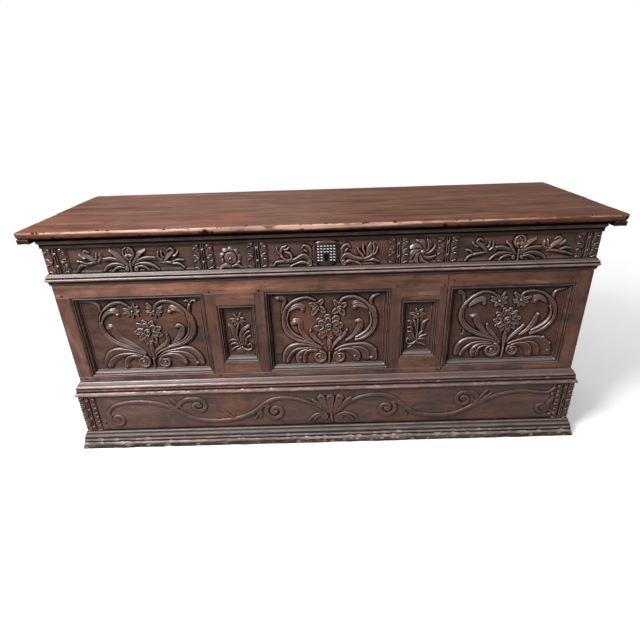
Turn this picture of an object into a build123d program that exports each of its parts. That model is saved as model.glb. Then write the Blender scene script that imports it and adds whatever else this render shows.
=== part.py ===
from build123d import *
import os

os.makedirs("parts", exist_ok=True)

# A carved walnut cassone: a long chest with a plank lid, a framed front of carved panels,
# a carved frieze and base, and a small cupboard behind a door at the right of the front.
# Millimetres. +X runs along the front to the right, +Y goes from the front to the back,
# and the origin is under the middle of the whole chest, on the floor.

# ---------------------------------------------------------------- driving dimensions
# The framed front, from left to right.
left_stile_width = 40.0
left_panel_width = 377.0
post_1_width = 31.0
left_small_panel_width = 111.0
post_2_width = 26.0
centre_panel_width = 359.0
post_3_width = 29.0
right_small_panel_width = 108.0
post_4_width = 20.0
door_gap = 1.5
door_lip_width = 5.5
door_panel_width = 352.0
door_hinge_stile_width = 40.0

# Heights, from the floor up.
base_height = 190.0
sill_height = 45.0
bottom_rail_height = 15.0
panel_height = 262.0
top_rail_height = 39.0
frieze_height = 137.0
lid_thickness = 19.0
small_lower_rail_height = 36.0
small_panel_height = 189.0

# Boards of the case.
case_depth = 480.0
frame_thickness = 26.0
side_thickness = 24.0
back_thickness = 22.0
bottom_thickness = 18.0
bottom_raise = 6.0
bottom_tongue = 8.0
back_lower_plank_height = 240.0

# Cupboard behind the door.
partition_thickness = 18.0
partition_setback = 1.0
cupboard_top_thickness = 15.0
cupboard_top_raise = 3.0
shelf_thickness = 14.0
shelf_height = 150.0
shelf_housing = 6.0
shelf_front_setback = 34.0

# Panels and their mitred mouldings.
panel_thickness = 10.0
panel_tongue_thickness = 4.0
panel_tongue_depth = 7.0
panel_tongue_setback = 3.0
panel_moulding_width = 19.0
panel_moulding_pride = 1.5
mitre_gap = 0.2
joint_clearance = 0.2
large_relief_height = 9.0
small_relief_height = 7.0
relief_margin = 8.0

# Tenons and pegs.
tenon_thickness = 8.0
tenon_length = 12.0
tenon_shoulder = 4.0
tenon_setback = 8.0
peg_radius = 3.0
peg_length = 17.0
peg_pride = 0.6

# Frieze: a board with a sunk carved band, six planted blocks, and mouldings.
frieze_sink = 7.0
frieze_low_margin = 32.0
frieze_top_margin = 31.0
frieze_relief_height = 5.5
corner_block_width = 66.0
frieze_block_width = 58.0
frieze_left_field_width = 336.0
frieze_left_rosette_width = 88.0
frieze_lock_field_width = 324.0
frieze_right_rosette_width = 74.0
block_strip_width = 17.0
block_strip_relief = 2.5
waist_projection = 11.0
waist_height = 32.0
top_moulding_projection = 6.5
top_moulding_height = 32.0

# Base: a plinth box under the case, with a sunk carved band and two planted blocks.
base_projection = 16.0
base_front_thickness = 30.0
base_side_thickness = 30.0
base_back_thickness = 22.0
base_sink = 6.0
base_block_width = 52.0
base_relief_height = 5.0
lower_moulding_projection = 20.5
plinth_height = 57.0
plinth_projection = 18.0

# Lid.
lid_front_overhang = 25.0
lid_end_overhang = 44.0
lid_front_board_width = 215.0
lid_rear_clearance = 0.6
lid_edge_radius = 7.0
lid_board_gap = 0.3
batten_width = 33.0
batten_height = 14.0
batten_end_inset = 1.0
batten_front_inset = 3.0
batten_rear_inset = 8.0

# Lid hinges: an iron strap under the lid, a plate on the back, and a pin.
hinge_spacing = 960.0
hinge_width = 34.0
hinge_strap_length = 260.0
hinge_plate_length = 120.0
hinge_leaf_thickness = 3.0
hinge_barrel_radius = 6.0
hinge_barrel_clearance = 0.3
hinge_middle_knuckle = 12.0
hinge_knuckle_gap = 0.5
hinge_pin_radius = 2.5
hinge_pin_overhang = 1.5
running_clearance = 0.05
recess_clearance = 0.3

# Lid lock, on the axis of the ornament.
ornament_offset = 14.0
lock_plate_width = 66.0
lock_plate_height = 56.0
lock_plate_thickness = 2.0
lock_boss_height = 6.0
lock_boss_border = 5.0
keyhole_radius = 4.0
keyhole_slot_width = 5.2
keyhole_drop = 11.0
keyhole_height = 59.0
lock_case_width = 110.0
lock_case_height = 92.0
lock_case_depth = 20.0
lock_case_top_gap = 12.0
lock_wall = 2.0
staple_thickness = 5.0
staple_width = 11.0
staple_drop = 46.0
staple_slot_front = 3.5
staple_slot_play = 1.0
staple_plate_length = 56.0
staple_plate_width = 26.0
staple_plate_thickness = 2.5
bolt_width = 5.0
bolt_height = 8.0
bolt_length = 46.0
bolt_travel = 12.0
bolt_start = 4.5
bolt_clearance = 0.3
guide_thickness = 4.0
guide_wall = 3.0
key_post_radius = 2.0

# Door lock, on the inside of the door.
door_keyhole_inset = 56.5
door_keyhole_height = 116.0
door_lock_width = 70.0
door_lock_height = 60.0
door_lock_depth = 16.0
door_lock_inset = 8.0
door_bolt_length = 60.0
door_bolt_travel = 13.0

# Door pivots.
pivot_pin_radius = 4.0
pivot_depth_in_case = 18.0
pivot_depth_in_door = 24.0
pivot_collar_radius = 8.0
door_back_clearance = 0.6

# ---------------------------------------------------------------- places worked out
left_panel_x = left_stile_width
post_1_x = left_panel_x + left_panel_width
left_small_x = post_1_x + post_1_width
post_2_x = left_small_x + left_small_panel_width
centre_panel_x = post_2_x + post_2_width
post_3_x = centre_panel_x + centre_panel_width
right_small_x = post_3_x + post_3_width
post_4_x = right_small_x + right_small_panel_width
fixed_front_end_x = post_4_x + post_4_width
door_left_x = fixed_front_end_x + door_gap
door_panel_x = door_left_x + door_lip_width
door_stile_x = door_panel_x + door_panel_width
case_length = door_stile_x + door_hinge_stile_width
case_left = -case_length / 2
case_right = case_length / 2

sill_top = base_height + sill_height
panel_low = sill_top + bottom_rail_height
panel_high = panel_low + panel_height
frieze_low = panel_high + top_rail_height
case_top = frieze_low + frieze_height
lid_top = case_top + lid_thickness
small_low = panel_low + small_lower_rail_height
small_high = small_low + small_panel_height

plinth_reach = base_projection + plinth_projection
hinge_reach = 2 * hinge_barrel_radius + hinge_barrel_clearance
front_y = plinth_reach - (plinth_reach + case_depth + hinge_reach) / 2
back_y = front_y + case_depth
frame_back_y = front_y + frame_thickness
back_inner_y = back_y - back_thickness
side_inner_x = case_right - side_thickness
panel_ground_y = frame_back_y - panel_thickness
base_front_y = front_y - base_projection
base_half_length = case_right + base_projection

bottom_low = base_height + bottom_raise
bottom_top = bottom_low + bottom_thickness
partition_right_x = case_left + post_4_x - partition_setback
partition_left_x = partition_right_x - partition_thickness
cupboard_top_low = frieze_low + cupboard_top_raise
cupboard_top_high = cupboard_top_low + cupboard_top_thickness
shelf_low = bottom_top + shelf_height
shelf_high = shelf_low + shelf_thickness

frieze_band_low = frieze_low + frieze_low_margin
frieze_band_high = case_top - frieze_top_margin
frieze_ground_y = front_y + frieze_sink
base_ground_y = base_front_y + base_sink

corner_lowest = (Align.MIN, Align.MIN, Align.MIN)


# ---------------------------------------------------------------- shared shapes
def board(low, high, mode=Mode.ADD):
    """A square-edged board in the current part, from its lowest corner to its highest."""
    with Locations(low):
        Box(high[0] - low[0], high[1] - low[1], high[2] - low[2], align=corner_lowest, mode=mode)


def front_plane(x, y, z):
    """A plane that faces the viewer, with its own x to the right and y up."""
    return Plane((x, y, z), x_dir=(1, 0, 0), z_dir=(0, -1, 0))


def rod_along_y(x, y, z, radius, length, mode=Mode.ADD):
    """A round rod in the current part that runs back from its front end at y."""
    with BuildSketch(front_plane(x, y, z)) as end:
        Circle(radius)
    extrude(end.sketch, amount=-length, mode=mode)


def panel_tongue_cut(field, raise_to_full_height=False):
    """The groove that a panel's tongue slides in, cut from the current part."""
    low_x, high_x, low_z, high_z = field
    if raise_to_full_height:
        low_z, high_z = panel_low, panel_high
    reach = panel_tongue_depth + joint_clearance
    front = panel_ground_y + panel_tongue_setback - joint_clearance
    depth = panel_tongue_thickness + 2 * joint_clearance
    board(
        (low_x - reach, front, low_z - reach),
        (high_x + reach, front + depth, high_z + reach),
        mode=Mode.SUBTRACT,
    )


def panel_body(field):
    """A panel's board in the current part: the ground in the frame and the tongue around it."""
    low_x, high_x, low_z, high_z = field
    gap = joint_clearance
    tongue_front = panel_ground_y + panel_tongue_setback
    reach = panel_tongue_depth - joint_clearance
    board((low_x + gap, panel_ground_y, low_z + gap), (high_x - gap, frame_back_y, high_z - gap))
    board(
        (low_x - reach, tongue_front, low_z - reach),
        (high_x + reach, tongue_front + panel_tongue_thickness, high_z + reach),
    )


# The outer fields of the five panels: left, right, lower and upper edges of each opening.
left_field = (case_left + left_panel_x, case_left + post_1_x, panel_low, panel_high)
centre_field = (case_left + centre_panel_x, case_left + post_3_x, panel_low, panel_high)
left_small_field = (case_left + left_small_x, case_left + post_2_x, small_low, small_high)
right_small_field = (case_left + right_small_x, case_left + post_4_x, small_low, small_high)
door_moulding_field = (case_left + door_panel_x, case_left + door_stile_x, panel_low, panel_high)
door_field = (
    case_left + door_panel_x + panel_moulding_width,
    case_left + door_stile_x,
    panel_low,
    panel_high,
)

# ---------------------------------------------------------------- case
# Back: two planks edge to edge, the lower one grooved for the bottom board.
back_joint = base_height + back_lower_plank_height
with BuildPart() as back_planks:
    board((case_left, back_inner_y, base_height), (case_right, back_y, back_joint - joint_clearance / 2))
    board((case_left, back_inner_y, back_joint + joint_clearance / 2), (case_right, back_y, case_top))
    board(
        (-side_inner_x - bottom_tongue, back_inner_y, bottom_low - joint_clearance),
        (side_inner_x + bottom_tongue, back_inner_y + bottom_tongue, bottom_top + joint_clearance),
        mode=Mode.SUBTRACT,
    )
back_planks.part.label = "back_planks"
export_step(back_planks.part, "parts/back_planks.step")

with BuildPart() as left_side_board:
    board((case_left, frame_back_y, base_height), (-side_inner_x, back_inner_y, case_top))
    board(
        (-side_inner_x - bottom_tongue, frame_back_y, bottom_low - joint_clearance),
        (-side_inner_x, back_inner_y, bottom_top + joint_clearance),
        mode=Mode.SUBTRACT,
    )
left_side_board.part.label = "left_side_board"
export_step(left_side_board.part, "parts/left_side_board.step")

# The right side stands a little behind the door, and houses the shelf and the cupboard's top.
with BuildPart() as right_side_board:
    board((side_inner_x, frame_back_y, base_height), (case_right, back_inner_y, case_top))
    board(
        (side_inner_x, frame_back_y, sill_top),
        (case_right, frame_back_y + door_back_clearance, frieze_low),
        mode=Mode.SUBTRACT,
    )
    board(
        (side_inner_x, frame_back_y, bottom_low - joint_clearance),
        (side_inner_x + bottom_tongue, back_inner_y, bottom_top + joint_clearance),
        mode=Mode.SUBTRACT,
    )
    for housing_low, housing_high in ((shelf_low, shelf_high), (cupboard_top_low, cupboard_top_high)):
        board(
            (side_inner_x, frame_back_y, housing_low - joint_clearance),
            (side_inner_x + shelf_housing, back_inner_y, housing_high + joint_clearance),
            mode=Mode.SUBTRACT,
        )
right_side_board.part.label = "right_side_board"
export_step(right_side_board.part, "parts/right_side_board.step")

bottom_reach = bottom_tongue - joint_clearance
with BuildPart() as bottom_board:
    board(
        (-side_inner_x - bottom_reach, frame_back_y - bottom_reach, bottom_low),
        (side_inner_x + bottom_reach, back_inner_y + bottom_reach, bottom_top),
    )
bottom_board.part.label = "bottom_board"
export_step(bottom_board.part, "parts/bottom_board.step")

with BuildPart() as cupboard_partition:
    board(
        (partition_left_x, frame_back_y, bottom_top),
        (partition_right_x, back_inner_y, cupboard_top_low),
    )
    board(
        (partition_right_x - shelf_housing, frame_back_y, shelf_low - joint_clearance),
        (partition_right_x, back_inner_y, shelf_high + joint_clearance),
        mode=Mode.SUBTRACT,
    )
cupboard_partition.part.label = "cupboard_partition"
export_step(cupboard_partition.part, "parts/cupboard_partition.step")

with BuildPart() as cupboard_top:
    board(
        (partition_left_x, frame_back_y, cupboard_top_low),
        (side_inner_x + shelf_housing - joint_clearance, back_inner_y, cupboard_top_high),
    )
cupboard_top.part.label = "cupboard_top"
export_step(cupboard_top.part, "parts/cupboard_top.step")

with BuildPart() as cupboard_shelf:
    board(
        (
            partition_right_x - shelf_housing + joint_clearance,
            frame_back_y + shelf_front_setback,
            shelf_low,
        ),
        (side_inner_x + shelf_housing - joint_clearance, back_inner_y, shelf_high),
    )
cupboard_shelf.part.label = "cupboard_shelf"
export_step(cupboard_shelf.part, "parts/cupboard_shelf.step")

# ---------------------------------------------------------------- framed front
# Each upright is tenoned into the rails and held by a peg at both ends.
uprights = {
    "left_stile": (case_left, left_stile_width),
    "post_1": (case_left + post_1_x, post_1_width),
    "post_2": (case_left + post_2_x, post_2_width),
    "post_3": (case_left + post_3_x, post_3_width),
    "post_4": (case_left + post_4_x, post_4_width),
}
large_fields = (left_field, centre_field)
small_fields = (left_small_field, right_small_field)
top_peg_z = panel_high + tenon_length / 2
bottom_peg_z = panel_low - tenon_length / 2


def tenon(start_x, width, clearance=0.0, mode=Mode.ADD):
    """The tenons at both ends of an upright, or with a clearance their mortises."""
    front = front_y + tenon_setback
    low_x = start_x + tenon_shoulder
    high_x = start_x + width - tenon_shoulder
    for low_z, high_z in (
        (panel_low - tenon_length, panel_low),
        (panel_high, panel_high + tenon_length),
    ):
        board(
            (low_x - clearance, front - clearance, low_z - clearance),
            (high_x + clearance, front + tenon_thickness + clearance, high_z + clearance),
            mode=mode,
        )


def peg_holes():
    """The holes for the pegs of the fixed front, cut from the current part."""
    for start_x, width in uprights.values():
        for hole_z in (bottom_peg_z, top_peg_z):
            rod_along_y(
                start_x + width / 2, front_y, hole_z, peg_radius, peg_length, mode=Mode.SUBTRACT
            )


for upright_name, (upright_x, upright_width) in uprights.items():
    with BuildPart() as upright:
        board((upright_x, front_y, panel_low), (upright_x + upright_width, frame_back_y, panel_high))
        for field in large_fields:
            panel_tongue_cut(field)
        for field in small_fields:
            panel_tongue_cut(field, raise_to_full_height=True)
        tenon(upright_x, upright_width)
        peg_holes()
    upright.part.label = upright_name
    export_step(upright.part, f"parts/{upright_name}.step")

with BuildPart() as top_rail:
    board((case_left, front_y, panel_high), (case_left + fixed_front_end_x, frame_back_y, frieze_low))
    for field in large_fields:
        panel_tongue_cut(field)
    for upright_x, upright_width in uprights.values():
        tenon(upright_x, upright_width, joint_clearance, Mode.SUBTRACT)
    peg_holes()
top_rail.part.label = "top_rail"
export_step(top_rail.part, "parts/top_rail.step")

# The bottom rail runs the whole length, and is lower under the door.
pivot_x = case_right - frame_thickness / 2
pivot_y = front_y + frame_thickness / 2
with BuildPart() as bottom_rail:
    board((case_left, front_y, base_height), (case_right, frame_back_y, sill_top))
    board((case_left, front_y, sill_top), (case_left + fixed_front_end_x, frame_back_y, panel_low))
    for field in large_fields:
        panel_tongue_cut(field)
    for upright_x, upright_width in uprights.values():
        tenon(upright_x, upright_width, joint_clearance, Mode.SUBTRACT)
    peg_holes()
    board(
        (-side_inner_x - bottom_tongue, frame_back_y - bottom_tongue, bottom_low - joint_clearance),
        (side_inner_x + bottom_tongue, frame_back_y, bottom_top + joint_clearance),
        mode=Mode.SUBTRACT,
    )
    with BuildSketch(Plane.XY.offset(sill_top)):
        with Locations((pivot_x, pivot_y)):
            Circle(pivot_pin_radius + running_clearance)
    extrude(amount=-pivot_depth_in_case - joint_clearance, mode=Mode.SUBTRACT)
bottom_rail.part.label = "bottom_rail"
export_step(bottom_rail.part, "parts/bottom_rail.step")

# Short rails above and below each small panel, with end tongues in the posts' grooves.
with BuildPart() as short_rails:
    for low_x, high_x, _, _ in small_fields:
        for rail_low, rail_high in ((panel_low, small_low), (small_high, panel_high)):
            tongue_front = panel_ground_y + panel_tongue_setback
            tongue_reach = panel_tongue_depth - joint_clearance
            board((low_x, front_y, rail_low), (high_x, frame_back_y, rail_high))
            board(
                (low_x - tongue_reach, tongue_front, rail_low),
                (high_x + tongue_reach, tongue_front + panel_tongue_thickness, rail_high),
            )
    for field in small_fields:
        panel_tongue_cut(field)
short_rails.part.label = "short_rails"
export_step(short_rails.part, "parts/short_rails.step")

with BuildPart() as frame_pegs:
    for upright_x, upright_width in uprights.values():
        for peg_z in (bottom_peg_z, top_peg_z):
            peg_front = front_y - peg_pride
            peg_reach = peg_length - joint_clearance
            rod_along_y(upright_x + upright_width / 2, peg_front, peg_z, peg_radius, peg_reach)
frame_pegs.part.label = "frame_pegs"
export_step(frame_pegs.part, "parts/frame_pegs.step")


# ---------------------------------------------------------------- carved panels
def scroll_relief(field, ground_y, height):
    """The main forms of a large panel's carving: heart scrolls, leaves, volutes and a rose."""
    low_x, high_x, low_z, high_z = field
    across = (high_x - low_x) / 2 - panel_moulding_width - relief_margin
    up = (high_z - low_z) / 2 - panel_moulding_width - relief_margin
    stem = 0.07 * across
    with BuildSketch(front_plane((low_x + high_x) / 2, ground_y, (low_z + high_z) / 2)) as relief:
        for side in (-1, 1):
            with BuildLine():
                ThreePointArc(
                    (side * 0.06 * across, -0.62 * up),
                    (side * 0.62 * across, -0.22 * up),
                    (side * 0.80 * across, 0.34 * up),
                )
            trace(line_width=stem)
            with BuildLine():
                ThreePointArc(
                    (side * 0.80 * across, 0.34 * up),
                    (side * 0.62 * across, 0.84 * up),
                    (side * 0.28 * across, 0.86 * up),
                )
            trace(line_width=stem)
            with BuildLine():
                ThreePointArc(
                    (side * 0.06 * across, -0.62 * up),
                    (side * 0.62 * across, -0.42 * up),
                    (side * 0.88 * across, -0.86 * up),
                )
            trace(line_width=1.5 * stem)
            with Locations((side * 0.30 * across, -0.78 * up)):
                Circle(0.15 * across)
            with Locations((side * 0.24 * across, 0.62 * up)):
                Circle(0.16 * across)
        with Locations((0, 0.12 * up)):
            with PolarLocations(0.16 * across, 6):
                Circle(0.09 * across)
            Circle(0.17 * across)
        with Locations((0, -0.45 * up)):
            Rectangle(stem, 1.0 * up)
    extrude(relief.sketch, amount=height)


def sprig_relief(field, ground_y, height):
    """The main forms of a small panel's carving: a flower, its stem and bent leaves."""
    low_x, high_x, low_z, high_z = field
    across = (high_x - low_x) / 2 - panel_moulding_width - relief_margin
    up = (high_z - low_z) / 2 - panel_moulding_width - relief_margin
    stem = 0.16 * across
    with BuildSketch(front_plane((low_x + high_x) / 2, ground_y, (low_z + high_z) / 2)) as relief:
        with Locations((0, 0.60 * up)):
            with PolarLocations(0.42 * across, 6):
                Circle(0.26 * across)
            Circle(0.30 * across)
        with Locations((0, -0.15 * up)):
            Rectangle(stem, 1.4 * up)
        for side in (-1, 1):
            with BuildLine():
                ThreePointArc(
                    (0, -0.72 * up),
                    (side * 0.45 * across, -0.40 * up),
                    (side * 0.86 * across, -0.58 * up),
                )
            trace(line_width=stem)
            with BuildLine():
                ThreePointArc(
                    (0, -0.50 * up),
                    (side * 0.30 * across, -0.10 * up),
                    (side * 0.80 * across, 0.06 * up),
                )
            trace(line_width=stem)
    extrude(relief.sketch, amount=height)


with BuildPart() as left_panel:
    panel_body(left_field)
    scroll_relief(left_field, panel_ground_y, large_relief_height)
left_panel.part.label = "left_panel"
export_step(left_panel.part, "parts/left_panel.step")

with BuildPart() as centre_panel:
    panel_body(centre_field)
    scroll_relief(centre_field, panel_ground_y, large_relief_height)
centre_panel.part.label = "centre_panel"
export_step(centre_panel.part, "parts/centre_panel.step")

with BuildPart() as left_small_panel:
    panel_body(left_small_field)
    sprig_relief(left_small_field, panel_ground_y, small_relief_height)
left_small_panel.part.label = "left_small_panel"
export_step(left_small_panel.part, "parts/left_small_panel.step")

with BuildPart() as right_small_panel:
    panel_body(right_small_field)
    sprig_relief(right_small_field, panel_ground_y, small_relief_height)
right_small_panel.part.label = "right_small_panel"
export_step(right_small_panel.part, "parts/right_small_panel.step")


# ---------------------------------------------------------------- mitred panel mouldings
def moulding_strip(corner, along, length):
    """One mitred strip of a panel moulding, from a corner of the opening along its edge."""
    width = panel_moulding_width
    recess = panel_ground_y - front_y
    edge = Plane(corner, x_dir=along, z_dir=(0, -1, 0))
    across = Plane(corner, x_dir=edge.y_dir, z_dir=along)
    with BuildPart() as strip:
        with BuildSketch(across):
            with BuildLine():
                step_1 = Line((0, 0), (0, recess + panel_moulding_pride))
                step_2 = Line(step_1 @ 1, (0.22 * width, recess + panel_moulding_pride))
                step_3 = Line(step_2 @ 1, (0.30 * width, recess - 1))
                step_4 = ThreePointArc(
                    step_3 @ 1, (0.42 * width, 0.70 * recess), (0.58 * width, 0.60 * recess)
                )
                step_5 = Line(step_4 @ 1, (0.62 * width, 0.42 * recess))
                step_6 = ThreePointArc(
                    step_5 @ 1, (0.80 * width, 0.36 * recess), (0.88 * width, 0.18 * recess)
                )
                step_7 = Line(step_6 @ 1, (width, 0.14 * recess))
                step_8 = Line(step_7 @ 1, (width, 0))
                Line(step_8 @ 1, (0, 0))
            make_face()
        extrude(amount=length)
        with BuildSketch(edge):
            with BuildLine():
                Polyline(
                    (mitre_gap, 0),
                    (length - mitre_gap, 0),
                    (length - width - mitre_gap, width),
                    (width + mitre_gap, width),
                    close=True,
                )
            make_face()
        extrude(amount=recess + panel_moulding_pride, mode=Mode.INTERSECT)
    return strip.part


def moulding_strips(field):
    """The four strips around an opening, on the panel's ground."""
    low_x, high_x, low_z, high_z = field
    ground = panel_ground_y
    return [
        moulding_strip((low_x, ground, low_z), (1, 0, 0), high_x - low_x),
        moulding_strip((high_x, ground, low_z), (0, 0, 1), high_z - low_z),
        moulding_strip((high_x, ground, high_z), (-1, 0, 0), high_x - low_x),
        moulding_strip((low_x, ground, high_z), (0, 0, -1), high_z - low_z),
    ]


framed_panels = {
    "left_panel_moulding": left_field,
    "centre_panel_moulding": centre_field,
    "left_small_moulding": left_small_field,
    "right_small_moulding": right_small_field,
    "door_panel_moulding": door_moulding_field,
}
for moulding_name, field in framed_panels.items():
    strips = moulding_strips(field)
    with BuildPart() as panel_moulding:
        add(strips)
    panel_moulding.part.label = moulding_name
    export_step(panel_moulding.part, f"parts/{moulding_name}.step")

# ---------------------------------------------------------------- frieze
lock_x = ornament_offset
keyhole_z = frieze_low + keyhole_height
lock_plate_z = (frieze_band_low + frieze_band_high) / 2

# The five sunk fields and the six blocks between them, from left to right.
block_1_x = case_left
field_a_x = block_1_x + corner_block_width
block_2_x = field_a_x + frieze_left_field_width
field_b_x = block_2_x + frieze_block_width
block_3_x = field_b_x + frieze_left_rosette_width
field_c_x = block_3_x + frieze_block_width
block_4_x = field_c_x + frieze_lock_field_width
field_d_x = block_4_x + frieze_block_width
block_5_x = field_d_x + frieze_right_rosette_width
field_e_x = block_5_x + frieze_block_width
block_6_x = case_right - corner_block_width


def keyhole(x, z, front, depth):
    """A keyhole through the current part, from its front back."""
    with BuildSketch(front_plane(x, front, z)) as opening:
        Circle(keyhole_radius)
        with Locations((0, -keyhole_drop / 2)):
            Rectangle(keyhole_slot_width, keyhole_drop)
    extrude(opening.sketch, amount=-depth, mode=Mode.SUBTRACT)


def spray_relief(low_x, high_x):
    """A fan of leaves from the middle of a frieze field, on its sunk ground."""
    half = (high_x - low_x) / 2 - relief_margin
    band = frieze_band_high - frieze_band_low
    stem = 0.12 * band
    with BuildSketch(front_plane((low_x + high_x) / 2, frieze_ground_y, frieze_band_low)) as spray:
        with Locations((0, 0.72 * band)):
            Circle(0.20 * band)
        for side in (-1, 1):
            with BuildLine():
                ThreePointArc(
                    (0, 0.16 * band), (side * 0.40 * half, 0.46 * band), (side * 0.95 * half, 0.20 * band)
                )
            trace(line_width=stem)
            with BuildLine():
                Line((side * 0.03 * half, 0.20 * band), (side * 0.28 * half, 0.82 * band))
            trace(line_width=stem)
    extrude(spray.sketch, amount=frieze_relief_height)


def rosette_relief(low_x, high_x):
    """A round flower in a short frieze field."""
    band = frieze_band_high - frieze_band_low
    centre = front_plane((low_x + high_x) / 2, frieze_ground_y, frieze_band_low + band / 2)
    with BuildSketch(centre) as rosette:
        with PolarLocations(0.24 * band, 6):
            Circle(0.15 * band)
        Circle(0.2 * band)
    extrude(rosette.sketch, amount=frieze_relief_height)


with BuildPart() as frieze_board:
    board((case_left, front_y, frieze_low), (case_right, frame_back_y, case_top))
    board(
        (case_left, front_y, frieze_band_low),
        (case_right, frieze_ground_y, frieze_band_high),
        mode=Mode.SUBTRACT,
    )
    spray_relief(field_a_x, block_2_x)
    rosette_relief(field_b_x, block_3_x)
    rosette_relief(field_d_x, block_5_x)
    spray_relief(field_e_x, block_6_x)
    with BuildSketch(front_plane(lock_x, frieze_ground_y, lock_plate_z)):
        Rectangle(
            lock_plate_width + 2 * lock_boss_border,
            min(lock_plate_height + 2 * lock_boss_border, frieze_band_high - frieze_band_low),
        )
    extrude(amount=lock_boss_height)
    for side in (-1, 1):
        with BuildSketch(front_plane(lock_x, frieze_ground_y, frieze_band_low)):
            with BuildLine():
                ThreePointArc((side * 34, 20), (side * 75, 34), (side * 140, 12))
            trace(line_width=8)
        extrude(amount=frieze_relief_height)
    keyhole(lock_x, keyhole_z, front_y, frame_thickness + 1)
    with BuildSketch(Plane.XY.offset(frieze_low)):
        with Locations((pivot_x, pivot_y)):
            Circle(pivot_pin_radius + running_clearance)
    extrude(amount=pivot_depth_in_case + joint_clearance, mode=Mode.SUBTRACT)
frieze_board.part.label = "frieze_board"
export_step(frieze_board.part, "parts/frieze_board.step")


def carved_block(low_x, width, ground_y, depth, low_z, high_z):
    """A planted block in the current part, with two raised leaf strips on its face."""
    face_y = ground_y - depth
    board((low_x, face_y + block_strip_relief, low_z), (low_x + width, ground_y, high_z))
    for strip_x in (low_x, low_x + width - block_strip_width):
        board((strip_x, face_y, low_z), (strip_x + block_strip_width, face_y + block_strip_relief, high_z))


frieze_blocks_at = {
    block_1_x: corner_block_width,
    block_2_x: frieze_block_width,
    block_3_x: frieze_block_width,
    block_4_x: frieze_block_width,
    block_5_x: frieze_block_width,
    block_6_x: corner_block_width,
}
with BuildPart() as frieze_blocks:
    for block_x, block_width in frieze_blocks_at.items():
        carved_block(block_x, block_width, frieze_ground_y, frieze_sink, frieze_band_low, frieze_band_high)
frieze_blocks.part.label = "frieze_blocks"
export_step(frieze_blocks.part, "parts/frieze_blocks.step")


# ---------------------------------------------------------------- run mouldings
def section_face(outline):
    """A moulding's section, drawn with x out from the board's face and y up."""
    with BuildSketch() as section:
        with BuildLine():
            Polyline(*outline, close=True)
        make_face()
    return section.sketch


def front_run(section, half_length, face_y, low_z, reach, height):
    """A moulding along the front, mitred at both ends."""
    with BuildPart() as run:
        with BuildSketch(Plane((0, face_y, low_z), x_dir=(0, -1, 0), z_dir=(-1, 0, 0))):
            add(section)
        extrude(amount=half_length + reach, both=True)
        with BuildSketch(Plane.XY.offset(low_z)):
            with BuildLine():
                Polyline(
                    (-half_length, face_y),
                    (half_length, face_y),
                    (half_length + reach, face_y - reach),
                    (-half_length - reach, face_y - reach),
                    close=True,
                )
            make_face()
        extrude(amount=height, mode=Mode.INTERSECT)
    return run.part


def side_runs(section, half_length, face_y, low_z, reach, height):
    """The returns of a moulding along both ends of the chest, mitred at the front."""
    start_y = face_y - reach
    with BuildPart() as run:
        with BuildSketch(Plane((half_length, back_y, low_z), x_dir=(1, 0, 0), z_dir=(0, -1, 0))):
            add(section)
        extrude(amount=back_y - start_y)
        with BuildSketch(Plane.XY.offset(low_z)):
            with BuildLine():
                Polyline(
                    (half_length, face_y + mitre_gap),
                    (half_length, back_y),
                    (half_length + reach, back_y),
                    (half_length + reach, start_y + mitre_gap),
                    close=True,
                )
            make_face()
        extrude(amount=height, mode=Mode.INTERSECT)
        mirror(about=Plane.YZ)
    return run.part


top_section = section_face(
    (
        (0, 0),
        (0.25 * top_moulding_projection, 0),
        (0.45 * top_moulding_projection, 0.18 * top_moulding_height),
        (0.85 * top_moulding_projection, 0.36 * top_moulding_height),
        (top_moulding_projection, 0.48 * top_moulding_height),
        (top_moulding_projection, 0.72 * top_moulding_height),
        (0.80 * top_moulding_projection, 0.86 * top_moulding_height),
        (0.80 * top_moulding_projection, top_moulding_height),
        (0, top_moulding_height),
    )
)
waist_section = section_face(
    (
        (0, 0),
        (0.27 * waist_projection, 0),
        (0.36 * waist_projection, 0.12 * waist_height),
        (0.72 * waist_projection, 0.30 * waist_height),
        (waist_projection, 0.38 * waist_height),
        (waist_projection, 0.60 * waist_height),
        (0.86 * waist_projection, 0.66 * waist_height),
        (0.70 * waist_projection, 0.70 * waist_height),
        (0.40 * waist_projection, 0.86 * waist_height),
        (0, waist_height),
    )
)
lower_section = section_face(
    (
        (0, 0),
        (0.80 * lower_moulding_projection, 0),
        (0.86 * lower_moulding_projection, 0.08 * sill_height),
        (lower_moulding_projection, 0.16 * sill_height),
        (lower_moulding_projection, 0.32 * sill_height),
        (0.88 * lower_moulding_projection, 0.38 * sill_height),
        (0.74 * lower_moulding_projection, 0.40 * sill_height),
        (0.50 * lower_moulding_projection, 0.56 * sill_height),
        (0.30 * lower_moulding_projection, 0.80 * sill_height),
        (0.16 * lower_moulding_projection, 0.95 * sill_height),
        (0, sill_height),
    )
)
plinth_section = section_face(
    (
        (0, 0),
        (plinth_projection, 0),
        (plinth_projection, 0.32 * plinth_height),
        (0.90 * plinth_projection, 0.40 * plinth_height),
        (0.70 * plinth_projection, 0.44 * plinth_height),
        (0.66 * plinth_projection, 0.56 * plinth_height),
        (0.48 * plinth_projection, 0.62 * plinth_height),
        (0.44 * plinth_projection, 0.76 * plinth_height),
        (0.20 * plinth_projection, 0.86 * plinth_height),
        (0.12 * plinth_projection, plinth_height),
        (0, plinth_height),
    )
)

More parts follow.
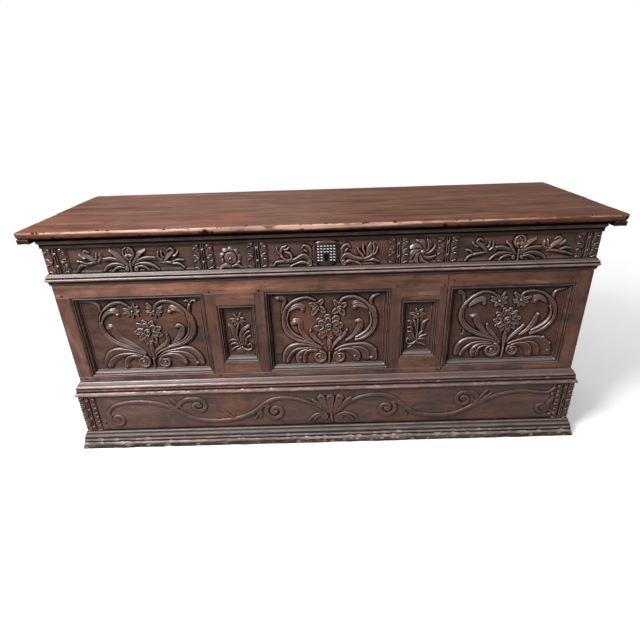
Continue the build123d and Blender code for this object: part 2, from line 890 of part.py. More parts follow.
# Each run: section, half-length of the face it sits on, that face, its lower edge and size.
runs = {
    "top_moulding": (
        top_section, case_right, front_y, case_top - top_moulding_height,
        top_moulding_projection, top_moulding_height,
    ),
    "waist_moulding": (waist_section, case_right, front_y, frieze_low, waist_projection, waist_height),
    "lower_moulding": (
        lower_section, case_right, front_y, base_height, lower_moulding_projection, sill_height,
    ),
    "plinth_moulding": (
        plinth_section, base_half_length, base_front_y, 0, plinth_projection, plinth_height,
    ),
}
for run_name, run_values in runs.items():
    front_part = front_run(*run_values)
    front_part.label = f"{run_name}_front"
    export_step(front_part, f"parts/{run_name}_front.step")
    side_part = side_runs(*run_values)
    side_part.label = f"{run_name}_ends"
    export_step(side_part, f"parts/{run_name}_ends.step")

# ---------------------------------------------------------------- base
base_band_low = plinth_height
base_band_high = base_height
base_inner_y = base_front_y + base_front_thickness


def vine_relief(half_length):
    """The main line of the vine on the base: two waves each side of a palmette."""
    band = base_band_high - base_band_low
    reach = half_length - base_block_width - relief_margin
    stem = 0.07 * band
    middle = base_band_low + band / 2
    with BuildSketch(front_plane(lock_x, base_ground_y, middle)) as vine:
        for side in (-1, 1):
            with BuildLine():
                rise = ThreePointArc((0, -0.15 * band), (side * 0.18 * reach, 0.28 * band),
                                     (side * 0.31 * reach, 0))
                fall = ThreePointArc(rise @ 1, (side * 0.50 * reach, -0.30 * band),
                                     (side * 0.66 * reach, 0))
                ThreePointArc(fall @ 1, (side * 0.80 * reach, 0.26 * band), (side * 0.93 * reach, 0))
            trace(line_width=stem)
            with Locations((side * 0.26 * reach, -0.16 * band), (side * 0.58 * reach, 0.18 * band)):
                Circle(0.17 * band)
        with Locations((0, 0.14 * band)):
            with PolarLocations(0.14 * band, 5, start_angle=18):
                Circle(0.12 * band)
    extrude(vine.sketch, amount=base_relief_height)


with BuildPart() as base_front_board:
    board((-base_half_length, base_front_y, 0), (base_half_length, base_inner_y, base_height))
    board(
        (-base_half_length, base_front_y, base_band_low),
        (base_half_length, base_ground_y, base_band_high),
        mode=Mode.SUBTRACT,
    )
    vine_relief(base_half_length)
base_front_board.part.label = "base_front_board"
export_step(base_front_board.part, "parts/base_front_board.step")

with BuildPart() as base_blocks:
    for block_x in (-base_half_length, base_half_length - base_block_width):
        carved_block(
            block_x, base_block_width, base_ground_y, base_sink, base_band_low, base_band_high
        )
base_blocks.part.label = "base_blocks"
export_step(base_blocks.part, "parts/base_blocks.step")

base_side_inner_x = base_half_length - base_side_thickness
with BuildPart() as base_left_board:
    board((-base_half_length, base_inner_y, 0), (-base_side_inner_x, back_y, base_height))
base_left_board.part.label = "base_left_board"
export_step(base_left_board.part, "parts/base_left_board.step")

with BuildPart() as base_right_board:
    board((base_side_inner_x, base_inner_y, 0), (base_half_length, back_y, base_height))
base_right_board.part.label = "base_right_board"
export_step(base_right_board.part, "parts/base_right_board.step")

with BuildPart() as base_back_board:
    board(
        (-base_side_inner_x, back_y - base_back_thickness, 0),
        (base_side_inner_x, back_y, base_height),
    )
base_back_board.part.label = "base_back_board"
export_step(base_back_board.part, "parts/base_back_board.step")

# ---------------------------------------------------------------- lid
lid_half_length = case_right + lid_end_overhang
lid_front_y = front_y - lid_front_overhang
lid_joint_y = lid_front_y + lid_front_board_width
lid_rear_y = back_y - lid_rear_clearance
hinge_axis_y = back_y + hinge_barrel_radius + hinge_barrel_clearance
hinge_places = (-hinge_spacing / 2, hinge_spacing / 2)

with BuildPart() as lid_front_board:
    board((-lid_half_length, lid_front_y, case_top), (lid_half_length, lid_joint_y, lid_top))
    front_edges = lid_front_board.edges().filter_by(Axis.X).group_by(Axis.Y)[0]
    fillet(front_edges, radius=min(lid_edge_radius, 0.45 * lid_thickness))
lid_front_board.part.label = "lid_front_board"
export_step(lid_front_board.part, "parts/lid_front_board.step")

# The rear board is let out underneath for the hinge straps.
with BuildPart() as lid_rear_board:
    board(
        (-lid_half_length, lid_joint_y + lid_board_gap, case_top), (lid_half_length, lid_rear_y, lid_top)
    )
    for hinge_x in hinge_places:
        board(
            (
                hinge_x - hinge_width / 2 - recess_clearance,
                lid_rear_y - hinge_strap_length - recess_clearance,
                case_top,
            ),
            (
                hinge_x + hinge_width / 2 + recess_clearance,
                lid_rear_y,
                case_top + hinge_leaf_thickness + recess_clearance,
            ),
            mode=Mode.SUBTRACT,
        )
lid_rear_board.part.label = "lid_rear_board"
export_step(lid_rear_board.part, "parts/lid_rear_board.step")

with BuildPart() as lid_battens:
    board(
        (
            lid_half_length - batten_end_inset - batten_width,
            lid_front_y + batten_front_inset,
            case_top - batten_height,
        ),
        (lid_half_length - batten_end_inset, lid_rear_y - batten_rear_inset, case_top),
    )
    mirror(about=Plane.YZ)
lid_battens.part.label = "lid_battens"
export_step(lid_battens.part, "parts/lid_battens.step")


# ---------------------------------------------------------------- lid hinges
def barrel(low_x, high_x, radius, mode=Mode.ADD):
    """A round piece of the current part about the lid's hinge axis."""
    with BuildSketch(Plane((low_x, hinge_axis_y, case_top), x_dir=(0, 1, 0), z_dir=(1, 0, 0))) as ring:
        Circle(radius)
    extrude(ring.sketch, amount=high_x - low_x, mode=mode)


pin_hole_radius = hinge_pin_radius + running_clearance
with BuildPart() as hinge_straps:
    for hinge_x in hinge_places:
        low_x = hinge_x - hinge_width / 2
        high_x = hinge_x + hinge_width / 2
        inner = hinge_middle_knuckle / 2 + hinge_knuckle_gap
        board(
            (low_x, lid_rear_y - hinge_strap_length, case_top),
            (high_x, lid_rear_y, case_top + hinge_leaf_thickness),
        )
        for knuckle_low, knuckle_high in ((low_x, hinge_x - inner), (hinge_x + inner, high_x)):
            barrel(knuckle_low, knuckle_high, hinge_barrel_radius)
            board(
                (knuckle_low, lid_rear_y, case_top),
                (knuckle_high, hinge_axis_y, case_top + hinge_leaf_thickness),
            )
        barrel(low_x, high_x, pin_hole_radius, mode=Mode.SUBTRACT)
hinge_straps.part.label = "hinge_straps"
export_step(hinge_straps.part, "parts/hinge_straps.step")

with BuildPart() as hinge_plates:
    for hinge_x in hinge_places:
        plate_top = case_top - hinge_barrel_radius - 2 * hinge_knuckle_gap
        board(
            (hinge_x - hinge_width / 2, back_y, plate_top - hinge_plate_length),
            (hinge_x + hinge_width / 2, back_y + hinge_leaf_thickness, plate_top),
        )
        knuckle_low = hinge_x - hinge_middle_knuckle / 2
        knuckle_high = hinge_x + hinge_middle_knuckle / 2
        barrel(knuckle_low, knuckle_high, hinge_barrel_radius)
        board(
            (knuckle_low, back_y + hinge_barrel_clearance, plate_top - hinge_leaf_thickness),
            (knuckle_high, back_y + hinge_leaf_thickness, case_top),
        )
        barrel(knuckle_low, knuckle_high, pin_hole_radius, mode=Mode.SUBTRACT)
hinge_plates.part.label = "hinge_plates"
export_step(hinge_plates.part, "parts/hinge_plates.step")

with BuildPart() as hinge_pins:
    for hinge_x in hinge_places:
        reach = hinge_width / 2 + hinge_pin_overhang
        barrel(hinge_x - reach, hinge_x + reach, hinge_pin_radius)
hinge_pins.part.label = "hinge_pins"
export_step(hinge_pins.part, "parts/hinge_pins.step")

# ---------------------------------------------------------------- lid lock
plate_back_y = frieze_ground_y - lock_boss_height
with BuildPart() as lock_plate:
    with BuildSketch(front_plane(lock_x, plate_back_y, lock_plate_z)):
        RectangleRounded(lock_plate_width, lock_plate_height, 0.18 * lock_plate_height)
    extrude(amount=lock_plate_thickness)
    keyhole(lock_x, keyhole_z, plate_back_y - lock_plate_thickness, lock_plate_thickness + 1)
lock_plate.part.label = "lock_plate"
export_step(lock_plate.part, "parts/lock_plate.step")

lock_case_high = case_top - lock_case_top_gap
lock_case_low = lock_case_high - lock_case_height
lock_case_back = frame_back_y + lock_case_depth
staple_y = frame_back_y + staple_slot_front + 1 + staple_width / 2
bolt_z = case_top - staple_drop + (staple_drop - lock_case_top_gap) / 2 - bolt_height / 2
bolt_low_z = bolt_z - bolt_height / 2
bolt_high_z = bolt_z + bolt_height / 2

# An iron tray, open towards the board, with a slot for the staple and guides for the bolt.
with BuildPart() as lock_case:
    board(
        (lock_x - lock_case_width / 2, frame_back_y, lock_case_low),
        (lock_x + lock_case_width / 2, lock_case_back, lock_case_high),
    )
    board(
        (lock_x - lock_case_width / 2 + lock_wall, frame_back_y, lock_case_low + lock_wall),
        (lock_x + lock_case_width / 2 - lock_wall, lock_case_back - lock_wall, lock_case_high - lock_wall),
        mode=Mode.SUBTRACT,
    )
    board(
        (
            lock_x - staple_thickness / 2 - staple_slot_play,
            staple_y - staple_width / 2 - staple_slot_front,
            lock_case_high - lock_wall,
        ),
        (
            lock_x + staple_thickness / 2 + staple_slot_play,
            staple_y + staple_width / 2 + staple_slot_play,
            lock_case_high,
        ),
        mode=Mode.SUBTRACT,
    )
    for guide_x in (lock_x + bolt_start + guide_thickness, lock_x + bolt_length - guide_thickness):
        board(
            (guide_x, staple_y - bolt_width / 2 - guide_wall, bolt_low_z - guide_wall),
            (guide_x + guide_thickness, lock_case_back - lock_wall, bolt_high_z + guide_wall),
        )
        board(
            (guide_x, staple_y - bolt_width / 2 - bolt_clearance, bolt_low_z - bolt_clearance),
            (
                guide_x + guide_thickness,
                staple_y + bolt_width / 2 + bolt_clearance,
                bolt_high_z + bolt_clearance,
            ),
            mode=Mode.SUBTRACT,
        )
    rod_along_y(
        lock_x, frame_back_y, keyhole_z, key_post_radius, lock_case_depth - lock_wall
    )
lock_case.part.label = "lock_case"
export_step(lock_case.part, "parts/lock_case.step")

with BuildPart() as lock_bolt:
    board(
        (lock_x + bolt_start, staple_y - bolt_width / 2, bolt_low_z),
        (lock_x + bolt_start + bolt_length, staple_y + bolt_width / 2, bolt_high_z),
    )
lock_bolt.part.label = "lock_bolt"
export_step(lock_bolt.part, "parts/lock_bolt.step")

staple_low_z = case_top - staple_drop
with BuildPart() as lid_staple:
    board(
        (
            lock_x - staple_plate_length / 2,
            frame_back_y + recess_clearance,
            case_top - staple_plate_thickness,
        ),
        (
            lock_x + staple_plate_length / 2,
            frame_back_y + recess_clearance + staple_plate_width,
            case_top,
        ),
    )
    board(
        (lock_x - staple_thickness / 2, staple_y - staple_width / 2, staple_low_z),
        (
            lock_x + staple_thickness / 2,
            staple_y + staple_width / 2,
            case_top - staple_plate_thickness,
        ),
    )
    board(
        (
            lock_x - staple_thickness / 2,
            staple_y - bolt_width / 2 - staple_slot_play,
            bolt_low_z - staple_slot_play,
        ),
        (
            lock_x + staple_thickness / 2,
            staple_y + bolt_width / 2 + staple_slot_play,
            bolt_high_z + staple_slot_play,
        ),
        mode=Mode.SUBTRACT,
    )
lid_staple.part.label = "lid_staple"
export_step(lid_staple.part, "parts/lid_staple.step")

# ---------------------------------------------------------------- door
door_left = case_left + door_left_x
door_low = sill_top + door_gap
door_high = frieze_low - door_gap
stile_left = case_left + door_stile_x
closing_stile_right = door_field[0]
door_peg_depth = peg_length - joint_clearance
door_top_peg_z = (panel_high + door_high) / 2
door_bottom_peg_z = (panel_low + door_low) / 2

# The hinge stile is the chest's corner; its back corner is rounded about the pivot.
with BuildPart() as door_hinge_stile:
    board((stile_left, front_y, door_low), (case_right, frame_back_y, door_high))
    panel_tongue_cut(door_field)
    back_corner = door_hinge_stile.edges().filter_by(Axis.Z).sort_by(Axis.X)[-2:].sort_by(Axis.Y)[-1]
    fillet(back_corner, radius=frame_thickness / 2 - joint_clearance / 4)
    for hole_z, direction in ((door_low, 1), (door_high, -1)):
        with BuildSketch(Plane.XY.offset(hole_z)):
            with Locations((pivot_x, pivot_y)):
                Circle(pivot_pin_radius + running_clearance)
        extrude(amount=direction * (pivot_depth_in_door + joint_clearance), mode=Mode.SUBTRACT)
door_hinge_stile.part.label = "door_hinge_stile"
export_step(door_hinge_stile.part, "parts/door_hinge_stile.step")

# The closing stile shows only its lip; the rest lies behind the moulding.
with BuildPart() as door_closing_stile:
    board((door_left, front_y, door_low), (case_left + door_panel_x, frame_back_y, door_high))
    board(
        (case_left + door_panel_x, panel_ground_y, panel_low),
        (closing_stile_right, frame_back_y, panel_high),
    )
    panel_tongue_cut(door_field)
door_closing_stile.part.label = "door_closing_stile"
export_step(door_closing_stile.part, "parts/door_closing_stile.step")

with BuildPart() as door_top_rail:
    board((case_left + door_panel_x, front_y, panel_high), (stile_left, frame_back_y, door_high))
    panel_tongue_cut(door_field)
    for peg_x in (case_left + door_panel_x + peg_length / 2, stile_left - peg_length):
        rod_along_y(peg_x, front_y, door_top_peg_z, peg_radius, peg_length, mode=Mode.SUBTRACT)
door_top_rail.part.label = "door_top_rail"
export_step(door_top_rail.part, "parts/door_top_rail.step")

with BuildPart() as door_bottom_rail:
    board((case_left + door_panel_x, front_y, door_low), (stile_left, frame_back_y, panel_low))
    panel_tongue_cut(door_field)
door_bottom_rail.part.label = "door_bottom_rail"
export_step(door_bottom_rail.part, "parts/door_bottom_rail.step")

with BuildPart() as door_pegs:
    for peg_x in (case_left + door_panel_x + peg_length / 2, stile_left - peg_length):
        rod_along_y(peg_x, front_y - peg_pride, door_top_peg_z, peg_radius, door_peg_depth)
door_pegs.part.label = "door_pegs"
export_step(door_pegs.part, "parts/door_pegs.step")

door_keyhole_x = door_left + door_keyhole_inset
door_keyhole_z = panel_low + door_keyhole_height
with BuildPart() as door_panel:
    panel_body(door_field)
    scroll_relief(door_moulding_field, panel_ground_y, large_relief_height)
    keyhole(
        door_keyhole_x,
        door_keyhole_z,
        panel_ground_y - large_relief_height,
        panel_thickness + large_relief_height + 1,
    )
door_panel.part.label = "door_panel"
export_step(door_panel.part, "parts/door_panel.step")

# Round pins at the top and bottom of the hinge stile; the lower one has a collar for the weight.
with BuildPart() as door_pivots:
    for start_z, end_z in (
        (sill_top - pivot_depth_in_case, door_low + pivot_depth_in_door),
        (door_high - pivot_depth_in_door, frieze_low + pivot_depth_in_case),
    ):
        with BuildSketch(Plane.XY.offset(start_z)):
            with Locations((pivot_x, pivot_y)):
                Circle(pivot_pin_radius)
        extrude(amount=end_z - start_z)
    with BuildSketch(Plane.XY.offset(sill_top + joint_clearance / 2)):
        with Locations((pivot_x, pivot_y)):
            Circle(pivot_collar_radius)
    extrude(amount=door_gap - joint_clearance)
door_pivots.part.label = "door_pivots"
export_step(door_pivots.part, "parts/door_pivots.step")

# Door lock: an iron tray on the inside of the door, and a bolt that shoots behind the post.
door_lock_left = door_left + door_lock_inset
door_lock_low = door_keyhole_z - door_lock_height / 2
door_lock_back = frame_back_y + door_lock_depth
door_bolt_y = frame_back_y + door_lock_depth / 2
door_bolt_z = door_keyhole_z + door_lock_height / 4
door_bolt_low = (door_bolt_y - bolt_width / 2, door_bolt_z - bolt_height / 2)
door_bolt_high = (door_bolt_y + bolt_width / 2, door_bolt_z + bolt_height / 2)
door_bolt_left = door_lock_left - bolt_start
with BuildPart() as door_lock_case:
    board(
        (door_lock_left, frame_back_y, door_lock_low),
        (door_lock_left + door_lock_width, door_lock_back, door_lock_low + door_lock_height),
    )
    board(
        (door_lock_left + lock_wall, frame_back_y, door_lock_low + lock_wall),
        (
            door_lock_left + door_lock_width - lock_wall,
            door_lock_back - lock_wall,
            door_lock_low + door_lock_height - lock_wall,
        ),
        mode=Mode.SUBTRACT,
    )
    guide_x = door_lock_left + door_lock_width / 2
    board(
        (guide_x, door_bolt_low[0] - guide_wall, door_bolt_low[1] - guide_wall),
        (guide_x + guide_thickness, door_lock_back - lock_wall, door_bolt_high[1] + guide_wall),
    )
    board(
        (door_lock_left, door_bolt_low[0] - bolt_clearance, door_bolt_low[1] - bolt_clearance),
        (
            guide_x + guide_thickness,
            door_bolt_high[0] + bolt_clearance,
            door_bolt_high[1] + bolt_clearance,
        ),
        mode=Mode.SUBTRACT,
    )
    rod_along_y(
        door_keyhole_x, frame_back_y, door_keyhole_z, key_post_radius, door_lock_depth - lock_wall
    )
door_lock_case.part.label = "door_lock_case"
export_step(door_lock_case.part, "parts/door_lock_case.step")

with BuildPart() as door_bolt:
    board(
        (door_bolt_left, door_bolt_low[0], door_bolt_low[1]),
        (door_bolt_left + door_bolt_length, door_bolt_high[0], door_bolt_high[1]),
    )
door_bolt.part.label = "door_bolt"
export_step(door_bolt.part, "parts/door_bolt.step")
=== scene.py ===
import math

import bpy
import numpy as np
from mathutils import Matrix, Vector


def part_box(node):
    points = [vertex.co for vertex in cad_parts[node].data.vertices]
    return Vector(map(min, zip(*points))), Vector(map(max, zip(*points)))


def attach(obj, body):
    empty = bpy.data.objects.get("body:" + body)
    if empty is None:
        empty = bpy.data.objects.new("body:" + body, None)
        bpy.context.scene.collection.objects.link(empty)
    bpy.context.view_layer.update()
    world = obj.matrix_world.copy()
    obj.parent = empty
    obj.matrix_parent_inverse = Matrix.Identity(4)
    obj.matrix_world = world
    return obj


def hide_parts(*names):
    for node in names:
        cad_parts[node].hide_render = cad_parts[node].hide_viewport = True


# The looks of a carved walnut cassone. Lengths are in millimetres in the row frame, and become
# metres where a mesh is made: +X runs along the front to the right and +Y goes to the back.
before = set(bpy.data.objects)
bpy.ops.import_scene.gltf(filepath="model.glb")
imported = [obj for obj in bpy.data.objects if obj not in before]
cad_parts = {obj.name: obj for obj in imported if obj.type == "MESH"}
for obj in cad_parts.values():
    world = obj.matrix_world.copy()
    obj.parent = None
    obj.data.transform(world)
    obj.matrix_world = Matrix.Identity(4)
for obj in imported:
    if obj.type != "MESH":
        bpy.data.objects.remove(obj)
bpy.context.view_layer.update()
MM = 0.001

# Depths, from the front backwards.
LID_FRONT_Y = -254.15
BASE_FRONT_Y = -245.15
BASE_GROUND_Y = -239.15
FRONT_Y = -229.15
FRIEZE_GROUND_Y = -222.15
BASE_BACK_Y = -215.15
PANEL_GROUND_Y = -213.15
FRAME_BACK_Y = -203.15
PLANKS_Y = 228.85
BACK_Y = 250.85
# Heights, from the floor upwards.
BASE_TOP = 190.0
FIELD_LOW, FIELD_HIGH = 250.0, 512.0
WAIST_LOW = 551.0
FRIEZE_LOW, FRIEZE_HIGH = 583.0, 657.0
LID_LOW, LID_HIGH = 688.0, 707.0
# Half lengths.
CASE_HALF = 750
BASE_HALF = 766
LID_HALF = 794
# The width of the mouldings round the panels, and the middle of the lock plate.
MOULDING_WIDTH = 19.0
LOCK_X, LOCK_Z = 14.0, 620.0


# ---------------------------------------------------------------- noise
def hashed(i, j, k, seed):
    n = (i * 73856093) ^ (j * 19349663) ^ (k * 83492791) ^ (seed * 40503001 + 9176)
    n = ((n ^ (n >> 13)) * 60493) & 0x7FFFFFFF
    n = ((n ^ (n >> 15)) * 19990303 + 1376312589) & 0x7FFFFFFF
    return ((n >> 7) & 0xFFFF) / 65535.0


def noise(points, size, seed=0):
    """Smooth noise from -1 to 1 at (..., 3) points, with features of that size."""
    q = points / np.asarray(size, float)
    cell = np.floor(q).astype(np.int64)
    f = q - cell
    f = f * f * (3 - 2 * f)
    total = 0.0
    for corner in range(8):
        d = (corner & 1, corner >> 1 & 1, corner >> 2 & 1)
        share = 1.0
        for axis in range(3):
            share = share * (f[..., axis] if d[axis] else 1 - f[..., axis])
        total = total + share * hashed(
            cell[..., 0] + d[0], cell[..., 1] + d[1], cell[..., 2] + d[2], seed
        )
    return 2 * total - 1


def rough(points, size, seed=0, octaves=3):
    """Noise with finer and finer layers on top."""
    size = np.asarray(size, float)
    total, share, whole = 0.0, 1.0, 0.0
    for layer in range(octaves):
        total = total + share * noise(points, size / 2**layer, seed + 31 * layer)
        whole += share
        share *= 0.5
    return total / whole


def smoothstep(low, high, value):
    t = np.clip((value - low) / (high - low), 0, 1)
    return t * t * (3 - 2 * t)


# ---------------------------------------------------------------- meshes
def make_piece(name, vertices, faces, body, nodes, material, attributes):
    """A closed mesh piece in the row frame, from points in millimetres."""
    mesh = bpy.data.meshes.new(name)
    mesh.from_pydata((np.asarray(vertices) * MM).tolist(), [], faces)
    for key, values in attributes.items():
        layer = mesh.attributes.new(key, "FLOAT", "POINT")
        layer.data.foreach_set("value", np.asarray(values, np.float32))
    mesh.shade_smooth()
    mesh.update()
    piece = bpy.data.objects.new(name, mesh)
    bpy.context.scene.collection.objects.link(piece)
    mesh.materials.append(material)
    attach(piece, body)
    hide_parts(*nodes)


def quads(*corners):
    """Four-sided faces, from one grid of point numbers for each of their corners."""
    return np.stack([grid.ravel() for grid in corners], -1).tolist()


class Pile:
    """Several meshes gathered into one piece."""

    def __init__(self):
        self.vertices, self.faces, self.extra = [], [], {"painted_cavity_shade": [], "wear": []}
        self.count = 0

    def add(self, vertices, faces, painted_cavity_shade, wear):
        self.vertices.append(np.asarray(vertices, float))
        self.faces += [[i + self.count for i in face] for face in faces]
        self.extra["painted_cavity_shade"].append(np.broadcast_to(painted_cavity_shade, len(vertices)))
        self.extra["wear"].append(np.broadcast_to(wear, len(vertices)))
        self.count += len(vertices)

    def piece(self, name, body, nodes, material, slot):
        extra = {key: np.concatenate(values) for key, values in self.extra.items()}
        make_piece(
            name, np.vstack(self.vertices), self.faces, body, nodes, material, extra
        )


def edge_lines(low, high, spacing):
    """Grid lines along one side of a board: close together near both ends."""
    steps, at, gap = [], 0.0, 0.45
    while at + gap < min(9.0, 0.42 * (high - low)):
        at += gap
        steps.append(at)
        gap *= 1.5
    inner_low, inner_high = low + at, high - at
    count = max(1, int(round((inner_high - inner_low) / spacing)))
    middle = np.linspace(inner_low, inner_high, count + 1)
    return np.concatenate(
        ([low], [low + s for s in steps[:-1]], middle, [high - s for s in steps[-2::-1]], [high])
    )


def box_shell(lines):
    """Vertices and faces of a box whose faces are cut along the given lines."""
    nx, ny, nz = (len(line) for line in lines)
    i, j, k = np.meshgrid(np.arange(nx), np.arange(ny), np.arange(nz), indexing="ij")
    skin = (i == 0) | (i == nx - 1) | (j == 0) | (j == ny - 1) | (k == 0) | (k == nz - 1)
    number = np.full((nx, ny, nz), -1)
    number[skin] = np.arange(skin.sum())
    vertices = np.stack([lines[0][i[skin]], lines[1][j[skin]], lines[2][k[skin]]], -1)
    faces = []
    for layer, turned in (
        (number[0], False), (number[-1], True), (number[:, 0], True), (number[:, -1], False),
        (number[:, :, 0], False), (number[:, :, -1], True),
    ):
        corners = [layer[:-1, :-1], layer[:-1, 1:], layer[1:, 1:], layer[1:, :-1]]
        faces += quads(*(corners[::-1] if turned else corners))
    return vertices, faces


def random_chips(rng, count, low, high, depth, size):
    """Bites out of edges: place, depth and size of each. Deep ones are rarer than shallow ones."""
    low, high = np.asarray(low, float), np.asarray(high, float)
    places = low + rng.random((count, 3)) * (high - low)
    return [
        (place, depth[0] + (depth[1] - depth[0]) * rng.random() ** 2,
         size[0] + (size[1] - size[0]) * rng.random())
        for place in places
    ]


def board_mesh(low, high, edge=0.9, spacing=9.0, seed=0, warp=0.25, chips=(), edge_at=None,
               rubbed=None, edge_wear=1.0):
    """A worn board: soft edges that vary along their length, bites, and a slightly uneven face.

    edge is the edges' radius, unless edge_at gives it for each point. rubbed gives the bright wear
    of each point, with a painted highlight in it. Returns vertices, faces and wear, where wear
    below 0 stands for painted shade in a deep bite.
    """
    low, high = np.asarray(low, float), np.asarray(high, float)
    spacings = spacing if isinstance(spacing, tuple) else (spacing,) * 3
    points, faces = box_shell([edge_lines(*span) for span in zip(low, high, spacings)])
    radius = edge_at(points) if edge_at else edge
    varied = radius * (
        1 + 0.45 * rough(points, 23.0, seed + 5) + 0.2 * noise(points, 6.0, seed + 6)
    )
    bites = np.zeros(len(points))
    for place, depth, size in chips:
        away = np.linalg.norm(points - place, axis=1)
        bites = np.maximum(bites, depth * np.exp(-((away / size) ** 2)))
    varied = varied + bites * (1 + 0.35 * noise(points, 3.0, seed + 8))
    limit = (high - low).min() * 0.49
    r = np.clip(varied, 0.15, limit)[:, None]
    core = np.clip(points, low + r, high - r)
    away = points - core
    length = np.linalg.norm(away, axis=1, keepdims=True)
    moved = core + away / np.maximum(length, 1e-9) * r
    to_faces = np.minimum(points - low, high - points)
    to_edge = np.sort(to_faces, axis=1)[:, 1]
    patchy = smoothstep(-0.25, 0.45, rough(points, 26.0, seed + 21, 3))
    wear = 0.75 * patchy * np.clip(1 - to_edge / (0.9 + 0.8 * r[:, 0]), 0, 1)
    wear = edge_wear * (wear + 0.25 * np.clip(1 - abs(bites - 0.8), 0, 1))
    # Painted highlight from rubbing along edges, and painted shade in deep bites as wear below 0.
    if rubbed:
        wear = np.maximum(wear, rubbed(points) * (bites < 0.8)) - 0.9 * smoothstep(1.0, 2.6, bites)
    inward = np.sign((low + high) / 2 - points) * (to_faces < 1e-6)
    dent = warp * (0.6 + 0.6 * rough(points, (60, 45, 60), seed + 11))
    dent = dent + 0.12 * noise(points, 7.0, seed + 12)
    return moved + inward * np.clip(dent, 0, None)[:, None], faces, wear


def board(name, low, high, body, node, material, slot="frame_walnut", **shape):
    """A piece that is one worn board."""
    vertices, faces, wear = board_mesh(low, high, **shape)
    # Wear below 0 becomes the painted shade of deep bites.
    extra = {"wear": np.clip(wear, 0, 1), "painted_cavity_shade": np.clip(-wear, 0, 1)}
    make_piece(name, vertices, faces, body, [node], material, extra)


def boards(name, spans, body, node, material, slot="frame_walnut", **shape):
    """A piece that is several worn boards, each given by two corners and a seed."""
    pile = Pile()
    for low, high, seed in spans:
        vertices, faces, wear = board_mesh(low, high, seed=seed, **shape)
        pile.add(vertices, faces, 0.0, wear)
    pile.piece(name, body, [node], material, slot)


# ---------------------------------------------------------------- carving
def smooth_line(points, spacing=1.7):
    """Close points along a smooth line through the given ones."""
    p = np.array(points, float)
    p = np.vstack([2 * p[0] - p[1], p, 2 * p[-1] - p[-2]])
    out = []
    for a, b, c, d in zip(p, p[1:], p[2:], p[3:]):
        count = max(2, int(np.hypot(*(c - b)) / spacing) + 1)
        t = (np.arange(count) / count)[:, None]
        out.append(
            0.5 * (2 * b + (c - a) * t + (2 * a - 5 * b + 4 * c - d) * t**2
                   + (3 * b - a - 3 * c + d) * t**3)
        )
    out.append(p[-2][None])
    return np.vstack(out)


def arc(x, z, start, end, angle, sweep, count):
    """Points about a middle, from one radius to another. Angles in degrees."""
    out = []
    for step in range(count + 1):
        t = step / count
        a = math.radians(angle + sweep * t)
        r = start + (end - start) * t
        out.append((x + r * math.cos(a), z + r * math.sin(a)))
    return out


def spiral(x, z, start, end, angle, turns, count=14):
    """The same by turns. A positive number of turns goes counter-clockwise."""
    return arc(x, z, start, end, angle, 360 * turns, count)


# A stroke's section: u is the distance from its middle line over its half-width, and v the same
# with a sign, positive on the left of the line's direction.
def plateau(u, power=5.0):
    return np.sqrt(np.clip(1 - u**power, 0, 1))


def ridge(v, middle, width):
    """1 on a line along the stroke, falling to 0 on both sides of it."""
    return np.exp(-(((v - middle) / width) ** 2))


def lean(u, v):
    """High on the left edge, falling away to the right, as a leaf that tucks under the next."""
    slope = 0.34 + 0.46 * smoothstep(-1.0, 0.45, v)
    ridges = 0.20 * ridge(v, 0.60, 0.20) + 0.13 * ridge(v, 0.02, 0.13)
    ridges = ridges + 0.13 * ridge(v, -0.45, 0.12)
    return plateau(u, 3.6) * (slope + ridges)


def band(u, v):
    """A broad stem with two grooves along it."""
    cut = 1 - 0.52 * ridge(v, -0.45, 0.16) - 0.24 * ridge(v, 0.12, 0.14)
    return plateau(u, 3.2) * (cut - 0.16 * smoothstep(0.2, 1, v))


def scoop(u, v):
    return plateau(u) * (0.50 + 0.50 * smoothstep(-0.7, 0.75, v))


SECTIONS = {
    "round": lambda u, v: np.clip(1 - u**2.2, 0, 1) ** 0.6,
    "lean": lean,
    "lean_r": lambda u, v: lean(u, -v),
    "band": band,
    "band_r": lambda u, v: band(u, -v),
    "scoop": scoop,
    "scoop_r": lambda u, v: scoop(u, -v),
    "vein": lambda u, v: plateau(u, 3.6) * (0.55 + 0.30 * u**2 + 0.34 * ridge(u, 0, 0.20)),
    "petal": lambda u, v: plateau(u, 6) * (0.40 + 0.60 * u**2.2),
    "leaf": lambda u, v: plateau(u, 4) * (0.60 + 0.40 * u**1.8 - 0.12 * ridge(u, 0, 0.16)),
    "ribs": lambda u, v: plateau(u, 4) * (0.76 + 0.24 * np.cos(v * 9.4)),
}

# Leaning leaves reach further on their low side. The sign says which side is the high one.
HIGH_SIDE = {"lean": 1, "lean_r": -1}
LOW_SIDE_REACH = 1.75


# The distance of grid points that are out of a stroke's reach.
FAR = 1e9


def blurred(field, amount):
    """Gaussian blur, in cells."""
    reach = max(1, int(3 * amount))
    weights = np.exp(-0.5 * (np.arange(-reach, reach + 1) / amount) ** 2)
    weights /= weights.sum()
    for axis in (0, 1):
        pad = [(reach, reach) if a == axis else (0, 0) for a in (0, 1)]
        wide = np.pad(field, pad, mode="edge")
        size = field.shape[axis]
        total = 0.0
        for step, weight in enumerate(weights):
            cut = [slice(None), slice(None)]
            cut[axis] = slice(step, step + size)
            total = total + weight * wide[tuple(cut)]
        field = total
    return field


